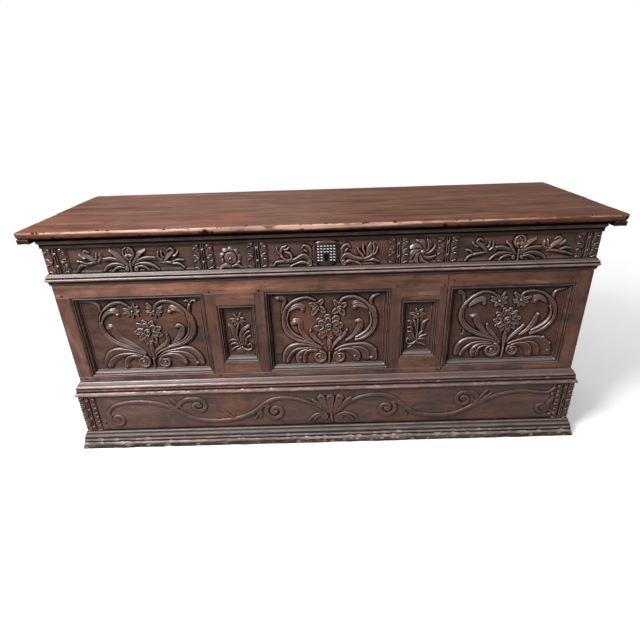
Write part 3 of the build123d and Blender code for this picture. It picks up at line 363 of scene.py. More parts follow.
class Relief:
    """Heights over a grid on a panel's ground, built up stroke by stroke."""

    def __init__(self, low_x, high_x, low_z, high_z, step, seed=0):
        self.step, self.seed = step, seed
        self.xs = np.linspace(low_x, high_x, int(round((high_x - low_x) / step)) + 1)
        self.zs = np.linspace(low_z, high_z, int(round((high_z - low_z) / step)) + 1)
        self.x, self.z = np.meshgrid(self.xs, self.zs)
        self.h = np.zeros_like(self.x)

    def window(self, low_x, high_x, low_z, high_z):
        i = np.searchsorted(self.xs, (low_x, high_x))
        j = np.searchsorted(self.zs, (low_z, high_z))
        return slice(j[0], j[1] + 1), slice(i[0], i[1] + 1)

    def nearest(self, line, reach):
        """Distance to the line, share along it and side of it, at each grid point in reach."""
        distance = np.full(self.x.shape, FAR)
        share, side = np.zeros(self.x.shape), np.ones(self.x.shape)
        runs = line[1:] - line[:-1]
        lengths = np.maximum(np.hypot(runs[:, 0], runs[:, 1]), 1e-6)
        ends = np.concatenate(([0], np.cumsum(lengths)))
        for k in range(0, len(runs), 10):
            a, e, size = line[k:k + 10][:len(runs) - k], runs[k:k + 10], lengths[k:k + 10]
            both = np.vstack([a, a + e])
            cut = self.window(
                both[:, 0].min() - reach, both[:, 0].max() + reach,
                both[:, 1].min() - reach, both[:, 1].max() + reach,
            )
            px = self.x[cut][..., None] - a[:, 0]
            pz = self.z[cut][..., None] - a[:, 1]
            if px.size == 0:
                continue
            t = np.clip((px * e[:, 0] + pz * e[:, 1]) / size**2, 0, 1)
            off = np.hypot(px - t * e[:, 0], pz - t * e[:, 1])
            best = off.argmin(-1)[..., None]
            near = np.take_along_axis(off, best, -1)[..., 0]
            along = (ends[k:k + len(a)][best[..., 0]]
                     + np.take_along_axis(t * size, best, -1)[..., 0]) / ends[-1]
            cross = np.take_along_axis(e[:, 0] * pz - e[:, 1] * px, best, -1)[..., 0]
            closer = near < distance[cut]
            distance[cut] = np.where(closer, near, distance[cut])
            share[cut] = np.where(closer, along, share[cut])
            side[cut] = np.where(closer, np.where(cross >= 0, 1.0, -1.0), side[cut])
        return distance, share, side

    def stroke(self, points, width, height, section="round", under=0.5, cut=0.55):
        """A carved stroke along a line. Width and height may be lists of values along it.

        The stroke keeps the share under of what was there below it, and cuts away the share cut
        of what stands beside it.
        """
        line = smooth_line(points)
        widths = np.atleast_1d(np.array(width, float))
        heights = np.atleast_1d(np.array(height, float))
        distance, share, side = self.nearest(line, widths.max() * 2.0 + 2)
        w = np.interp(share, np.linspace(0, 1, len(widths)), widths)
        h = np.interp(share, np.linspace(0, 1, len(heights)), heights)
        if section in HIGH_SIDE:
            w = w * np.where(side * HIGH_SIDE[section] < 0, LOW_SIDE_REACH, 1.0)
        u = distance / np.maximum(w, 0.05)
        inside = u < 1
        raised = h * SECTIONS[section](np.clip(u, 0, 1), np.clip(u, 0, 1) * side)
        edge = np.clip(1 - (distance - w) / 1.7, 0, 1) * (distance < FAR)
        kept = np.where(inside, self.h * under, self.h * (1 - cut * edge))
        self.h = np.where(inside, np.maximum(raised, kept), kept)

    def groove(self, points, width, depth):
        """A cut or a crack along a line."""
        distance, share, side = self.nearest(smooth_line(points), width * 2 + 2)
        u = np.clip(distance / width, 0, 1)
        self.h = self.h - depth * (1 - u) * np.sin(np.pi * np.clip(share, 0.02, 0.98)) ** 0.4

    def dome(self, x, z, radius, height, power=2.0, under=1.0):
        away = np.hypot(self.x - x, self.z - z) / radius
        raised = height * np.clip(1 - away**power, 0, 1) ** 0.55
        kept = np.where(away < 1, self.h * under, self.h)
        self.h = np.maximum(kept, raised)

    def volute(self, x, z, radius, height, angle, turns, width):
        """A curled end: a spiral stroke about a button."""
        button = radius * 0.26
        self.dome(x, z, radius * 0.9, height * 0.45, 4.0)
        points = spiral(x, z, radius - width * 0.9, button, angle, turns)
        widths = [width, width, width * 0.8, width * 0.6]
        section = "lean" if turns < 0 else "lean_r"
        self.stroke(points, widths, [height, height * 0.9], section, 0.3, 0.5)
        self.dome(x, z, button, height * 0.8, 5.0)

    def petal(self, x, z, angle, start, end, width, height, section="petal", bend=0.0, point=0.35):
        """A petal from near a flower's middle outwards. Angles in degrees."""
        points = arc(x, z, start, end, angle, bend, 4)
        widths = [width * share for share in (0.45, 0.85, 1.0, 0.9, point)]
        heights = [height * 0.75, height, height, height * 0.95]
        self.stroke(points, widths, heights, section, 0.35, 0.6)

    def bloom(self, x, z, height, petals, boss=5.0):
        """A flower of cupped petals round a boss: angle, length and half-width of each petal."""
        self.dome(x, z, 0.40 * max(length for _, length, _ in petals), height * 0.5, 4.0, 0.6)
        for angle, length, width in petals:
            start, end = min(5.0, 0.2 * length), length - 0.7 * width
            self.petal(x, z, angle, start, end, 1.04 * width, height, point=0.7)
        if boss:
            self.dome(x, z, boss, height * 1.12, under=0.2)

    def rose(self, x, z, radius, height, turn, rng, outer, tip):
        """A full-blown rose: two rings of cupped petals and a curled heart.

        outer is the number of petals in the outer ring, and tip the width of their ends.
        """
        for ring, (count, start, end, width, lift) in enumerate(
            ((outer, 0.50, 1.06 - 0.16 * tip, 2.4 / outer, 0.76), (6, 0.24, 0.64, 0.27, 0.98))
        ):
            self.dome(x, z, radius * (0.78, 0.48)[ring], height * (0.55, 0.74)[ring], 5.0, 0.2)
            for number in range(count):
                wobble = rng.random(3) - 0.5
                self.petal(
                    x, z, turn + 24 * ring + 360 * number / count + 10 * wobble[0], radius * start,
                    radius * (end + 0.12 * wobble[1]), radius * width * (1 + 0.2 * wobble[2]),
                    height * lift, point=max(tip, 0.85 * ring),
                )
        self.dome(x, z, radius * 0.30, height * 0.74, 5.0, 0.2)
        heart = spiral(x, z, radius * 0.30, radius * 0.05, turn + 40, 1.5)
        self.stroke(heart, radius * 0.08, height * 1.08, "round", 0.4, 0.7)

    def finish(self, soften=0.5, ground=0.30, tool=0.20, sink=0.9):
        """Softens the carving, sinks the ground round it and leaves tool marks and wear."""
        mask = smoothstep(0.15, 1.4, self.h)
        spread = blurred(mask, 3.4 / self.step)
        self.h = self.h - sink * spread * (1 - mask)
        self.h = blurred(self.h, soften / self.step)
        points = np.stack([self.x, np.zeros_like(self.x), self.z], -1)
        self.h = self.h + ground * rough(points, 21.0, self.seed + 1, 3) * (1 - 0.6 * mask)
        marks = noise(points, (5.5, 5, 3.4), self.seed + 2)
        self.h = self.h + tool * (marks + 0.6 * noise(points, 2.3, self.seed + 4))
        self.h = self.h - 0.55 * mask * smoothstep(0.15, 0.8, rough(points, 17.0, self.seed + 3, 3))

    def shades(self):
        """Painted shade in the hollows, and worn tops lightened partly as a painted highlight, each
        from 0 to 1.
        """
        near = blurred(self.h, 1.5 / self.step)
        wide = blurred(self.h, 4.5 / self.step)
        hollow_shade = np.clip(0.42 * (near - self.h) + 0.18 * (wide - self.h), 0, 1)
        raised = np.clip(0.60 * (self.h - near) + 0.08 * (self.h - wide), 0, 1)
        return hollow_shade, raised


def ring_of(nx, nz):
    """Grid numbers round a grid's edge, counter-clockwise from its lower left corner."""
    bottom = np.arange(nx)
    right = nx - 1 + nx * np.arange(1, nz)
    top = nx * (nz - 1) + np.arange(nx - 2, -1, -1)
    left = nx * np.arange(nz - 2, 0, -1)
    return np.concatenate([bottom, right, top, left])


def slab_mesh(relief, ground_y, back_y):
    """A closed block whose front is the relief. Returns vertices, faces, painted shade in the
    hollows, and wear with a painted highlight on worn tops.
    """
    nz, nx = relief.h.shape
    front = np.stack([relief.x, ground_y - relief.h, relief.z], -1).reshape(-1, 3)
    ring = ring_of(nx, nz)
    back = front[ring].copy()
    back[:, 1] = back_y
    middle = back.mean(0)[None]
    number = np.arange(nx * nz).reshape(nz, nx)
    faces = quads(number[:-1, :-1], number[:-1, 1:], number[1:, 1:], number[1:, :-1])
    start, count = nx * nz, len(ring)
    for i in range(count):
        j = (i + 1) % count
        faces.append([int(ring[i]), start + i, start + j, int(ring[j])])
        faces.append([start + count, start + j, start + i])
    hollow_shade, raised = relief.shades()
    extra = np.zeros(count + 1)
    return (
        np.vstack([front, back, middle]), faces,
        np.concatenate([hollow_shade.ravel(), extra]), np.concatenate([raised.ravel(), extra]),
    )


def slab(node, relief, ground_y, back_y, body, material):
    """A piece that is one carved block."""
    vertices, faces, hollow_shade, raised = slab_mesh(relief, ground_y, back_y)
    # The carving's painted shade in hollows, its worn tops with a painted highlight, and its rise
    # above the ground for a painted sheen.
    rise = smoothstep(0.6, 4.5, ground_y - vertices[:, 1]) * (vertices[:, 1] < back_y - 0.1)
    extra = {"painted_cavity_shade": hollow_shade, "wear": raised, "rise": rise}
    make_piece(f"{node}_carved", vertices, faces, body, [node], material, extra)


# ---------------------------------------------------------------- mouldings
def section_line(outline, spacing=1.1, passes=2):
    """Close points along a moulding's section, with its corners worn soft."""
    outline = np.array(outline, float)
    out = [outline[:1]]
    for a, b in zip(outline, outline[1:]):
        count = max(1, int(np.hypot(*(b - a)) / spacing))
        t = (np.arange(1, count + 1) / count)[:, None]
        out.append(a + (b - a) * t)
    line = np.vstack(out)
    for _ in range(passes):
        line[1:-1] = 0.25 * line[:-2] + 0.5 * line[1:-1] + 0.25 * line[2:]
    return line


def bulges(values, reach=4):
    """How far each value along a line stands above the mean of its neighbours."""
    wide, count = np.pad(values, reach, mode="edge"), 2 * reach + 1
    return values - sum(wide[k:k + len(values)] for k in range(count)) / count


def swept(line, place, stations, wear, seed, chips):
    """Vertices, faces, painted shade in the hollows, and wear of a moulding swept along a run.

    place(out, along, z) gives points; stations are shares of the run, from 0 to 1.
    """
    count, steps = len(line), len(stations)
    out = np.repeat(line[:, 0][:, None], steps, 1)
    z = np.repeat(line[:, 1][:, None], steps, 1)
    along = np.repeat(np.array(stations)[None], count, 0)
    points = place(out, along, z)
    bulge = bulges(line[:, 0])
    # Painted shade where the section is concave, and wear where it stands out.
    hollow_shade, exposed = np.clip(-bulge / 1.1, 0, 1), np.clip(bulge / 0.9, 0, 1)
    tip = (line[:, 0] / line[:, 0].max())[:, None] ** 2
    loss = wear * tip * (0.5 + rough(points, (38, 38, 9), seed, 3))
    loss = loss + 0.30 * wear * exposed[:, None] * (0.6 + noise(points, 6.0, seed + 4))
    drop = np.zeros_like(loss)
    for middle, depth, size in chips:
        away = np.linalg.norm(points - middle, axis=-1)
        drop = np.maximum(drop, depth * np.exp(-((away / size) ** 2)))
    loss = np.clip(loss + drop * (1 + 0.4 * noise(points, 2.6, seed + 7)), 0, None)
    loss[[0, -1]] = 0
    shifted = np.clip(out - loss, 0.05, None)
    shifted[[0, -1]] = out[[0, -1]]
    points = place(shifted, along, z)
    vertices = points.reshape(-1, 3)
    number = np.arange(count * steps).reshape(count, steps)
    rolled = np.roll(number, -1, 0)
    faces = quads(number[:, :-1], number[:, 1:], rolled[:, 1:], rolled[:, :-1])
    faces += [number[:, 0].tolist(), number[::-1, -1].tolist()]
    shade = np.repeat(hollow_shade[:, None], steps, 1).ravel()
    worn = (np.repeat(exposed[:, None], steps, 1) + 0.3 * drop).ravel()
    return vertices, faces, shade, np.clip(worn, 0, 1)


def even(length, spacing):
    """Shares of a run, from 0 to 1, about that far apart."""
    return np.linspace(0, 1, max(2, int(length / spacing)) + 1)


FRONT_STATIONS, END_STATIONS = 3.6, 5.0


def run_moulding(name, outline, half, face_y, low_z, wear, seed, material, chips):
    """A moulding along the front and its returns along both ends, mitred at the corners.

    chips gives the number of bites along it, their greatest depth and their greatest size.
    """
    line = section_line(outline)
    reach, height = line[:, 0].max(), line[:, 1].max()
    number, depth, size = chips
    bites = random_chips(
        np.random.default_rng(seed), number,
        (-half - reach, face_y - reach, low_z + 0.1 * height),
        (half + reach, face_y - reach * 0.7, low_z + 0.6 * height),
        (0.3 * depth, depth), (2.5, size),
    )
    bites += [
        (np.array([side * (half + reach), face_y - reach, low_z + 0.35 * height]), depth * 1.2, 7.0)
        for side in (-1, 1)
    ]

    def along_front(out, along, z):
        span = half + out
        return np.stack([-span + 2 * span * along, face_y - out, low_z + z], -1)

    pile = Pile()
    pile.add(*swept(line, along_front, even(2 * half, FRONT_STATIONS), wear, seed, bites))
    pile.piece(f"{name}_front_worn", "case", [f"{name}_front"], material, "frame_walnut")
    ends = Pile()
    for side in (-1, 1):
        def along_end(out, along, z, side=side):
            start = face_y - out + 0.2
            y = start + (BACK_Y - start) * (along if side > 0 else 1 - along)
            return np.stack([side * (half + out), y, low_z + z], -1)

        stations = even(BACK_Y - face_y, END_STATIONS)
        ends.add(*swept(line, along_end, stations, wear * 0.8, seed + 2, bites))
    ends.piece(f"{name}_ends_worn", "case", [f"{name}_ends"], material, "frame_walnut")


# The section of the mouldings round the panels: shares of their width and of the panels' recess.
FRAMED_SECTION = [
    (0.03, 1.05), (0.11, 1.05), (0.13, 0.72), (0.21, 0.68), (0.24, 0.96), (0.31, 0.98),
    (0.38, 0.86), (0.40, 0.56), (0.48, 0.50), (0.51, 0.68), (0.58, 0.64), (0.68, 0.46),
    (0.78, 0.28), (0.82, 0.20), (0.84, 0.04), (0.91, 0.04), (0.93, 0.20), (1.0, 0.14),
]


def framed_moulding(node, field, body, material, seed):
    """The mitred moulding round a panel, from the frame's face down to the panel's ground."""
    low_x, high_x, low_z, high_z = field
    w, recess = MOULDING_WIDTH, PANEL_GROUND_Y - FRONT_Y
    outline = [(share * w, rise * recess) for share, rise in FRAMED_SECTION]
    line = section_line([(0, 0), (0, recess)] + outline + [(w, 0)], 0.6, 1)
    inset, rise = line[:, 0], line[:, 1]
    corners = [
        np.stack([x, z], -1) for x, z in (
            (low_x + inset, low_z + inset), (high_x - inset, low_z + inset),
            (high_x - inset, high_z - inset), (low_x + inset, high_z - inset),
        )
    ]
    rows = []
    for side in range(4):
        start, end = corners[side], corners[(side + 1) % 4]
        length = high_z - low_z if side % 2 else high_x - low_x
        rows += [start + (end - start) * t for t in even(length, FRONT_STATIONS)[:-1]]
    plan = np.stack(rows, 1)
    count, steps = plan.shape[:2]
    depths = np.repeat((PANEL_GROUND_Y - rise)[:, None], steps, 1)
    points = np.stack([plan[..., 0], depths, plan[..., 1]], -1)
    # Painted shade on the wall against the frame and in the section's concave parts; wear where it
    # stands out.
    bulge = np.where(inset < 0.7, -0.5, bulges(rise))
    hollow_shade, exposed = np.clip(-bulge / 0.9, 0, 1), np.clip(bulge / 1.1, 0, 1)
    loss = (0.35 + 0.5 * exposed[:, None]) * (0.5 + rough(points, 15.0, seed, 3))
    loss = 0.3 * np.clip(loss, 0, None) * ((rise > 0.5) & (inset > 0.5))[:, None]
    points[..., 1] += loss
    number = np.arange(count * steps).reshape(count, steps)
    over, next_step = np.roll(number, -1, 0), np.roll(number, -1, 1)
    faces = quads(number, next_step, np.roll(next_step, -1, 0), over)
    extra = {
        "painted_cavity_shade": np.repeat(hollow_shade[:, None], steps, 1).ravel(),
        "wear": np.repeat(0.7 * exposed[:, None], steps, 1).ravel(),
    }
    vertices = points.reshape(-1, 3)
    make_piece(f"{node}_worn", vertices, faces, body, [node], material, extra)


# ---------------------------------------------------------------- materials
class Nodes:
    """Short calls for building the nodes of a material or a world."""

    def __init__(self, owner):
        self.owner = owner
        owner.use_nodes = True
        self.tree = owner.node_tree
        self.tree.nodes.clear()

    def node(self, kind, **settings):
        made = self.tree.nodes.new(kind)
        for key, value in settings.items():
            setattr(made, key, value)
        return made

    def put(self, socket, value):
        if isinstance(value, bpy.types.NodeSocket):
            self.tree.links.new(value, socket)
        else:
            socket.default_value = value

    def math(self, operation, a, b=0.0, clamp=False):
        made = self.node("ShaderNodeMath", operation=operation, use_clamp=clamp)
        self.put(made.inputs[0], a)
        self.put(made.inputs[1], b)
        return made.outputs[0]

    def mix(self, share, a, b, blend="MIX"):
        made = self.node("ShaderNodeMix", data_type="RGBA", blend_type=blend)
        self.put(made.inputs[0], share)
        self.put(made.inputs[6], a)
        self.put(made.inputs[7], b)
        return made.outputs[2]

    def span(self, value, low, high, to_low=0.0, to_high=1.0):
        made = self.node("ShaderNodeMapRange", interpolation_type="SMOOTHSTEP")
        for socket, number in zip(made.inputs, (value, low, high, to_low, to_high)):
            self.put(socket, number)
        return made.outputs[0]

    def tint(self, base, value, low, high, share, tone):
        """The base with a share of another tone where the value goes from low to high."""
        return self.mix(self.math("MULTIPLY", self.span(value, low, high), share), base, tone)

    def cloud(self, where, scale, detail, roughness, distortion=0.0):
        made = self.node("ShaderNodeTexNoise")
        self.put(made.inputs["Vector"], where)
        for key, value in (
            ("Scale", scale), ("Detail", detail), ("Roughness", roughness),
            ("Distortion", distortion),
        ):
            made.inputs[key].default_value = value
        return made.outputs[0]

    def stretched(self, where, scale, shift):
        made = self.node("ShaderNodeMapping")
        self.put(made.inputs["Vector"], where)
        made.inputs["Scale"].default_value = scale
        made.inputs["Location"].default_value = shift
        return made.outputs[0]

    def attribute(self, name):
        return self.node("ShaderNodeAttribute", attribute_name=name).outputs["Fac"]

    def bump(self, height, strength, distance):
        made = self.node("ShaderNodeBump")
        made.inputs["Strength"].default_value = strength
        made.inputs["Distance"].default_value = distance
        self.put(made.inputs["Height"], height)
        return made.outputs[0]

    def mix_shader(self, share, a, b):
        made = self.node("ShaderNodeMixShader")
        for socket, value in zip(made.inputs, (share, a, b)):
            self.put(socket, value)
        return made.outputs[0]

    def seen(self):
        """1 for what the camera sees, straight or by metal and glass, and 0 for other light."""
        rays = self.node("ShaderNodeLightPath").outputs
        bent = self.math("MAXIMUM", rays["Is Glossy Ray"], rays["Is Transmission Ray"])
        return self.math("MAXIMUM", rays["Is Camera Ray"], bent)

    def emitting(self, kind, tone, strength):
        made = self.node(kind)
        made.inputs["Color"].default_value = tone
        made.inputs["Strength"].default_value = strength
        return made.outputs[0]

    def diffuse(self, tone):
        made = self.node("ShaderNodeBsdfDiffuse")
        made.inputs["Color"].default_value = tone
        return made.outputs[0]

    def end(self, kind, surface):
        self.put(self.node(kind).inputs["Surface"], surface)
        return self.owner

    def surface(self, colour, roughness, normal, specular, metallic=0.0, coat=0.0):
        shader = self.node("ShaderNodeBsdfPrincipled")
        self.put(shader.inputs["Base Color"], colour)
        self.put(shader.inputs["Roughness"], roughness)
        shader.inputs["Metallic"].default_value = metallic
        # The export drops a linked level and keeps this plain one.
        shader.inputs["Specular IOR Level"].default_value = 0.3
        self.put(shader.inputs["Specular IOR Level"], specular)
        if coat:
            shader.inputs["Coat Weight"].default_value = coat
            shader.inputs["Coat Roughness"].default_value = 0.28
        self.put(shader.inputs["Normal"], normal)
        return self.end("ShaderNodeOutputMaterial", shader.outputs[0])


def colour(red, green, blue):
    """A colour written as display values from 0 to 255."""
    shares = [v / 255 for v in (red, green, blue)]
    out = [v / 12.92 if v <= 10 / 255 else ((v + 0.055) / 1.055) ** 2.4 for v in shares]
    return (*out, 1.0)


# Tones of each kind of wood: dark, middle, light, red patch, black (pores, and the painted shade in
# hollows), worn edge (wear, and painted highlights), dust.
TONES = {
    # The lid's worn edge tone is also the painted highlight along its upper front edge.
    "lid": (
        (54, 31, 22), (94, 59, 45), (122, 83, 66), (108, 61, 43),
        (12, 7, 5), (232, 186, 168), (120, 104, 98),
    ),
    "frame": (
        (52, 34, 28), (100, 68, 57), (134, 96, 81), (118, 72, 54),
        (14, 9, 7), (150, 118, 104), (124, 110, 104),
    ),
    "carved": (
        (42, 27, 22), (78, 52, 43), (102, 71, 59), (118, 70, 50),
        (7, 5, 4), (128, 104, 95), (104, 88, 84),
    ),
    "vine": (
        (46, 31, 26), (84, 59, 51), (108, 79, 69), (118, 74, 56),
        (8, 6, 5), (118, 94, 85), (104, 90, 86),
    ),
    "run": (
        (36, 25, 22), (70, 50, 43), (98, 74, 66), (98, 60, 47),
        (8, 6, 5), (146, 122, 113), (122, 112, 111),
    ),
    "sill": (
        (44, 27, 24), (84, 55, 48), (114, 80, 72), (118, 66, 54),
        (8, 6, 5), (176, 138, 128), (122, 112, 111),
    ),
    "frieze": (
        (42, 27, 22), (78, 53, 45), (102, 73, 63), (114, 69, 51),
        (7, 5, 4), (132, 112, 104), (108, 98, 97),
    ),
    "plinth": (
        (36, 28, 26), (70, 56, 50), (102, 87, 81), (84, 60, 50),
        (9, 7, 6), (158, 142, 136), (122, 112, 110),
    ),
    "inner": (
        (94, 68, 48), (133, 100, 72), (160, 125, 92), (124, 84, 56),
        (50, 34, 24), (165, 132, 100), (150, 134, 118),
    ),
}
# Finish of each kind: roughness, dust, bump and coat, then the polish of upright faces, of upward
# slopes and of level tops.
FINISH = {
    "lid": (0.44, 0.0, 0.3, 0.05, (0.03, 0.30, 0.004)),
    "frame": (0.36, 0.10, 0.4, 0.0, (0.20, 0.40, 0.25)),
    "carved": (0.34, 0.08, 0.35, 0.0, (0.18, 1.00, 0.70)),
    "frieze": (0.34, 0.16, 0.35, 0.0, (0.25, 1.00, 0.70)),
    "vine": (0.42, 0.08, 0.35, 0.0, (0.28, 0.42, 0.30)),
    "run": (0.34, 0.30, 0.45, 0.0, (0.12, 0.55, 0.40)),
    "sill": (0.32, 0.26, 0.55, 0.0, (0.16, 0.72, 0.35)),
    "plinth": (0.40, 0.25, 0.8, 0.0, (0.10, 0.70, 0.50)),
    "inner": (0.72, 0.15, 0.6, 0.0, (0.20, 0.30, 0.30)),
}
made_woods = {}


def wood(kind, grain, shift, level=1.0, right_end_shade=1.0):
    """Aged walnut with its grain along an axis.

    The level makes the whole piece lighter or darker, in most calls as painted light and shade, and
    fade darkens its right end as a painted shade.
    """
    key = (kind, grain, shift, level, right_end_shade)
    if key in made_woods:
        return made_woods[key]
    dark, middle, light, red, black, worn, dust = (
        (*(level * channel for channel in colour(*tone)[:3]), 1.0) for tone in TONES[kind]
    )
    base_roughness, dustiness, bumpiness, coat, (upright, sloping, lying_flat) = FINISH[kind]
    n = Nodes(bpy.data.materials.new(f"{kind}_wood_{grain}_{len(made_woods)}"))
    place = n.node("ShaderNodeTexCoord")
    where = place.outputs["Object"]
    along = "xyz".index(grain)

    def scaled(stretch):
        return [1.0 / stretch if axis == along else 1.0 for axis in range(3)]

    offset = (1.7 + shift, 3.1 - shift, 0.6 + 2 * shift)
    figure = n.cloud(n.stretched(where, scaled(7.0), offset), 17.0, 4.0, 0.55, 1.6)
    streak = n.cloud(n.stretched(where, scaled(16.0), offset), 85.0, 6.0, 0.65, 0.4)
    pores = n.cloud(n.stretched(where, scaled(26.0), offset), 700.0, 2.0, 0.6)
    patch = n.cloud(where, 5.5, 4.0, 0.6, 0.5)
    grime_stretch = scaled(6.0 if kind == "lid" else 1.6)
    grime = n.cloud(n.stretched(where, grime_stretch, offset), 22.0, 5.0, 0.65, 0.3)
    stain = n.cloud(where, 9.0, 4.0, 0.62, 0.8)
    fine = n.cloud(where, 420.0, 3.0, 0.6)
    tone = n.math("ADD", n.math("MULTIPLY", figure, 0.55), n.math("MULTIPLY", streak, 0.45))
    base = n.mix(n.span(tone, 0.30, 0.52), dark, middle)
    base = n.mix(n.span(tone, 0.50, 0.68), base, light)
    base = n.tint(base, patch, 0.50, 0.68, 0.55, red)
    base = n.tint(base, grime, 0.50, 0.68, 0.55, dark)
    base = n.tint(base, stain, 0.47, 0.63, 0.20 if kind == "lid" else 0.5, dark)
    base = n.tint(base, pores, 0.56, 0.68, 0.55, black)
    # Painted sheen and dust: raised carving is tinted greyer than its ground.
    if kind == "carved":
        base = n.mix(n.math("MULTIPLY", n.attribute("rise"), 0.28), base, colour(88, 67, 60))
    # Bright worn tone: real wear on edges, and a painted highlight on carved crests and the lid's
    # front edge.
    wear = n.attribute("wear")
    rubbed = n.math("MULTIPLY", n.span(wear, 0.12, 0.75), n.span(grime, 0.34, 0.62, 0.35, 1.0))
    base = n.mix(n.math("MULTIPLY", rubbed, 0.8), base, worn)
    # Painted shade: the colour darkens towards the piece's right end.
    if right_end_shade != 1.0:
        across = n.node("ShaderNodeSeparateXYZ")
        n.put(across.inputs[0], where)
        base = n.mix(1.0, base, n.span(across.outputs[0], -0.60, 0.45, 1.0, right_end_shade), "MULTIPLY")
    up = n.node("ShaderNodeSeparateXYZ")
    n.put(up.inputs[0], place.outputs["Normal"])
    lying = n.span(up.outputs[2], 0.25, 0.95)
    lying = n.math("MULTIPLY", lying, n.span(patch, 0.30, 0.62, 0.55, 1.0))
    base = n.mix(n.math("MULTIPLY", lying, dustiness), base, dust)
    # Painted shade: hollows and deep bites darken towards black.
    hollow_shade = n.attribute("painted_cavity_shade")
    base = n.tint(base, hollow_shade, 0.03, 0.62, 0.90, black)
    gloss = n.math("ADD", base_roughness - 0.13, n.math("MULTIPLY", grime, 0.30))
    gloss = n.math("ADD", gloss, n.math("MULTIPLY", n.span(hollow_shade, 0.05, 0.6), 0.35))
    gloss = n.math("ADD", gloss, n.math("MULTIPLY", lying, dustiness * 0.35), clamp=True)
    shine = n.span(up.outputs[2], 0.04, 0.50, upright, sloping)
    shine = n.math("SUBTRACT", shine, n.span(up.outputs[2], 0.88, 0.985, 0.0, sloping - lying_flat))
    shine = n.math("MULTIPLY", shine, n.span(hollow_shade, 0.05, 0.6, 1.0, 0.1))
    height = n.math("ADD", n.math("MULTIPLY", streak, 0.55), n.math("MULTIPLY", pores, -0.35))
    height = n.math("ADD", height, n.math("MULTIPLY", fine, 0.18))
    height = n.math("ADD", height, n.math("MULTIPLY", grime, 0.5))
    normal = n.bump(height, bumpiness, 0.0012)
    made_woods[key] = n.surface(base, gloss, normal, shine, coat=coat)
    return made_woods[key]


def iron(name, dark, light, rust, roughness, metallic, worn=(132, 128, 124), specular=0.5):
    """Dark old iron with rust spots, painted black shade in its hollows, and bright wear, which on
    the lock plate is a painted glint on its raised bars.
    """
    n = Nodes(bpy.data.materials.new(name))
    where = n.node("ShaderNodeTexCoord").outputs["Object"]
    blotch = n.cloud(where, 60.0, 6.0, 0.65, 0.4)
    spots = n.cloud(where, 380.0, 4.0, 0.6)
    base = n.mix(n.span(blotch, 0.36, 0.62), colour(*dark), colour(*light))
    base = n.tint(base, spots, 0.54, 0.70, 0.7, colour(*rust))
    base = n.tint(base, n.attribute("painted_cavity_shade"), 0.05, 0.7, 0.9, colour(8, 7, 6))
    base = n.tint(base, n.attribute("wear"), 0.1, 0.8, 0.85, colour(*worn))
    gloss = n.math("ADD", roughness - 0.12, n.math("MULTIPLY", spots, 0.3))
    normal = n.bump(n.math("ADD", blotch, n.math("MULTIPLY", spots, 0.7)), 0.6, 0.0006)
    shine = n.span(n.attribute("painted_cavity_shade"), 0.05, 0.7, specular, 0.02)
    return n.surface(base, gloss, normal, shine, metallic)


lock_iron = iron("lock_iron_worn", (44, 42, 41), (84, 80, 77), (78, 54, 40), 0.46, 0.75)
# The lock plate is not metal, and its bright worn tone is a painted glint on its raised bars.
plate_iron = iron(
    "lock_plate_worn", (24, 20, 18), (50, 42, 39), (52, 38, 30), 0.45, 0.0, (236, 236, 234), 0.12
)
hinge_iron = iron("hinge_iron_worn", (40, 36, 34), (70, 62, 57), (84, 56, 40), 0.58, 0.6)

# ---------------------------------------------------------------- panels
SMALL_LOW, SMALL_HIGH = 286.0, 475.0
FIELDS = {
    "left": (-710.0, -333.0, FIELD_LOW, FIELD_HIGH),
    "centre": (-165.0, 194.0, FIELD_LOW, FIELD_HIGH),
    "door": (358.0, 710.0, FIELD_LOW, FIELD_HIGH),
    "left_small": (-302.0, -191.0, SMALL_LOW, SMALL_HIGH),
    "right_small": (223.0, 331.0, SMALL_LOW, SMALL_HIGH),
}

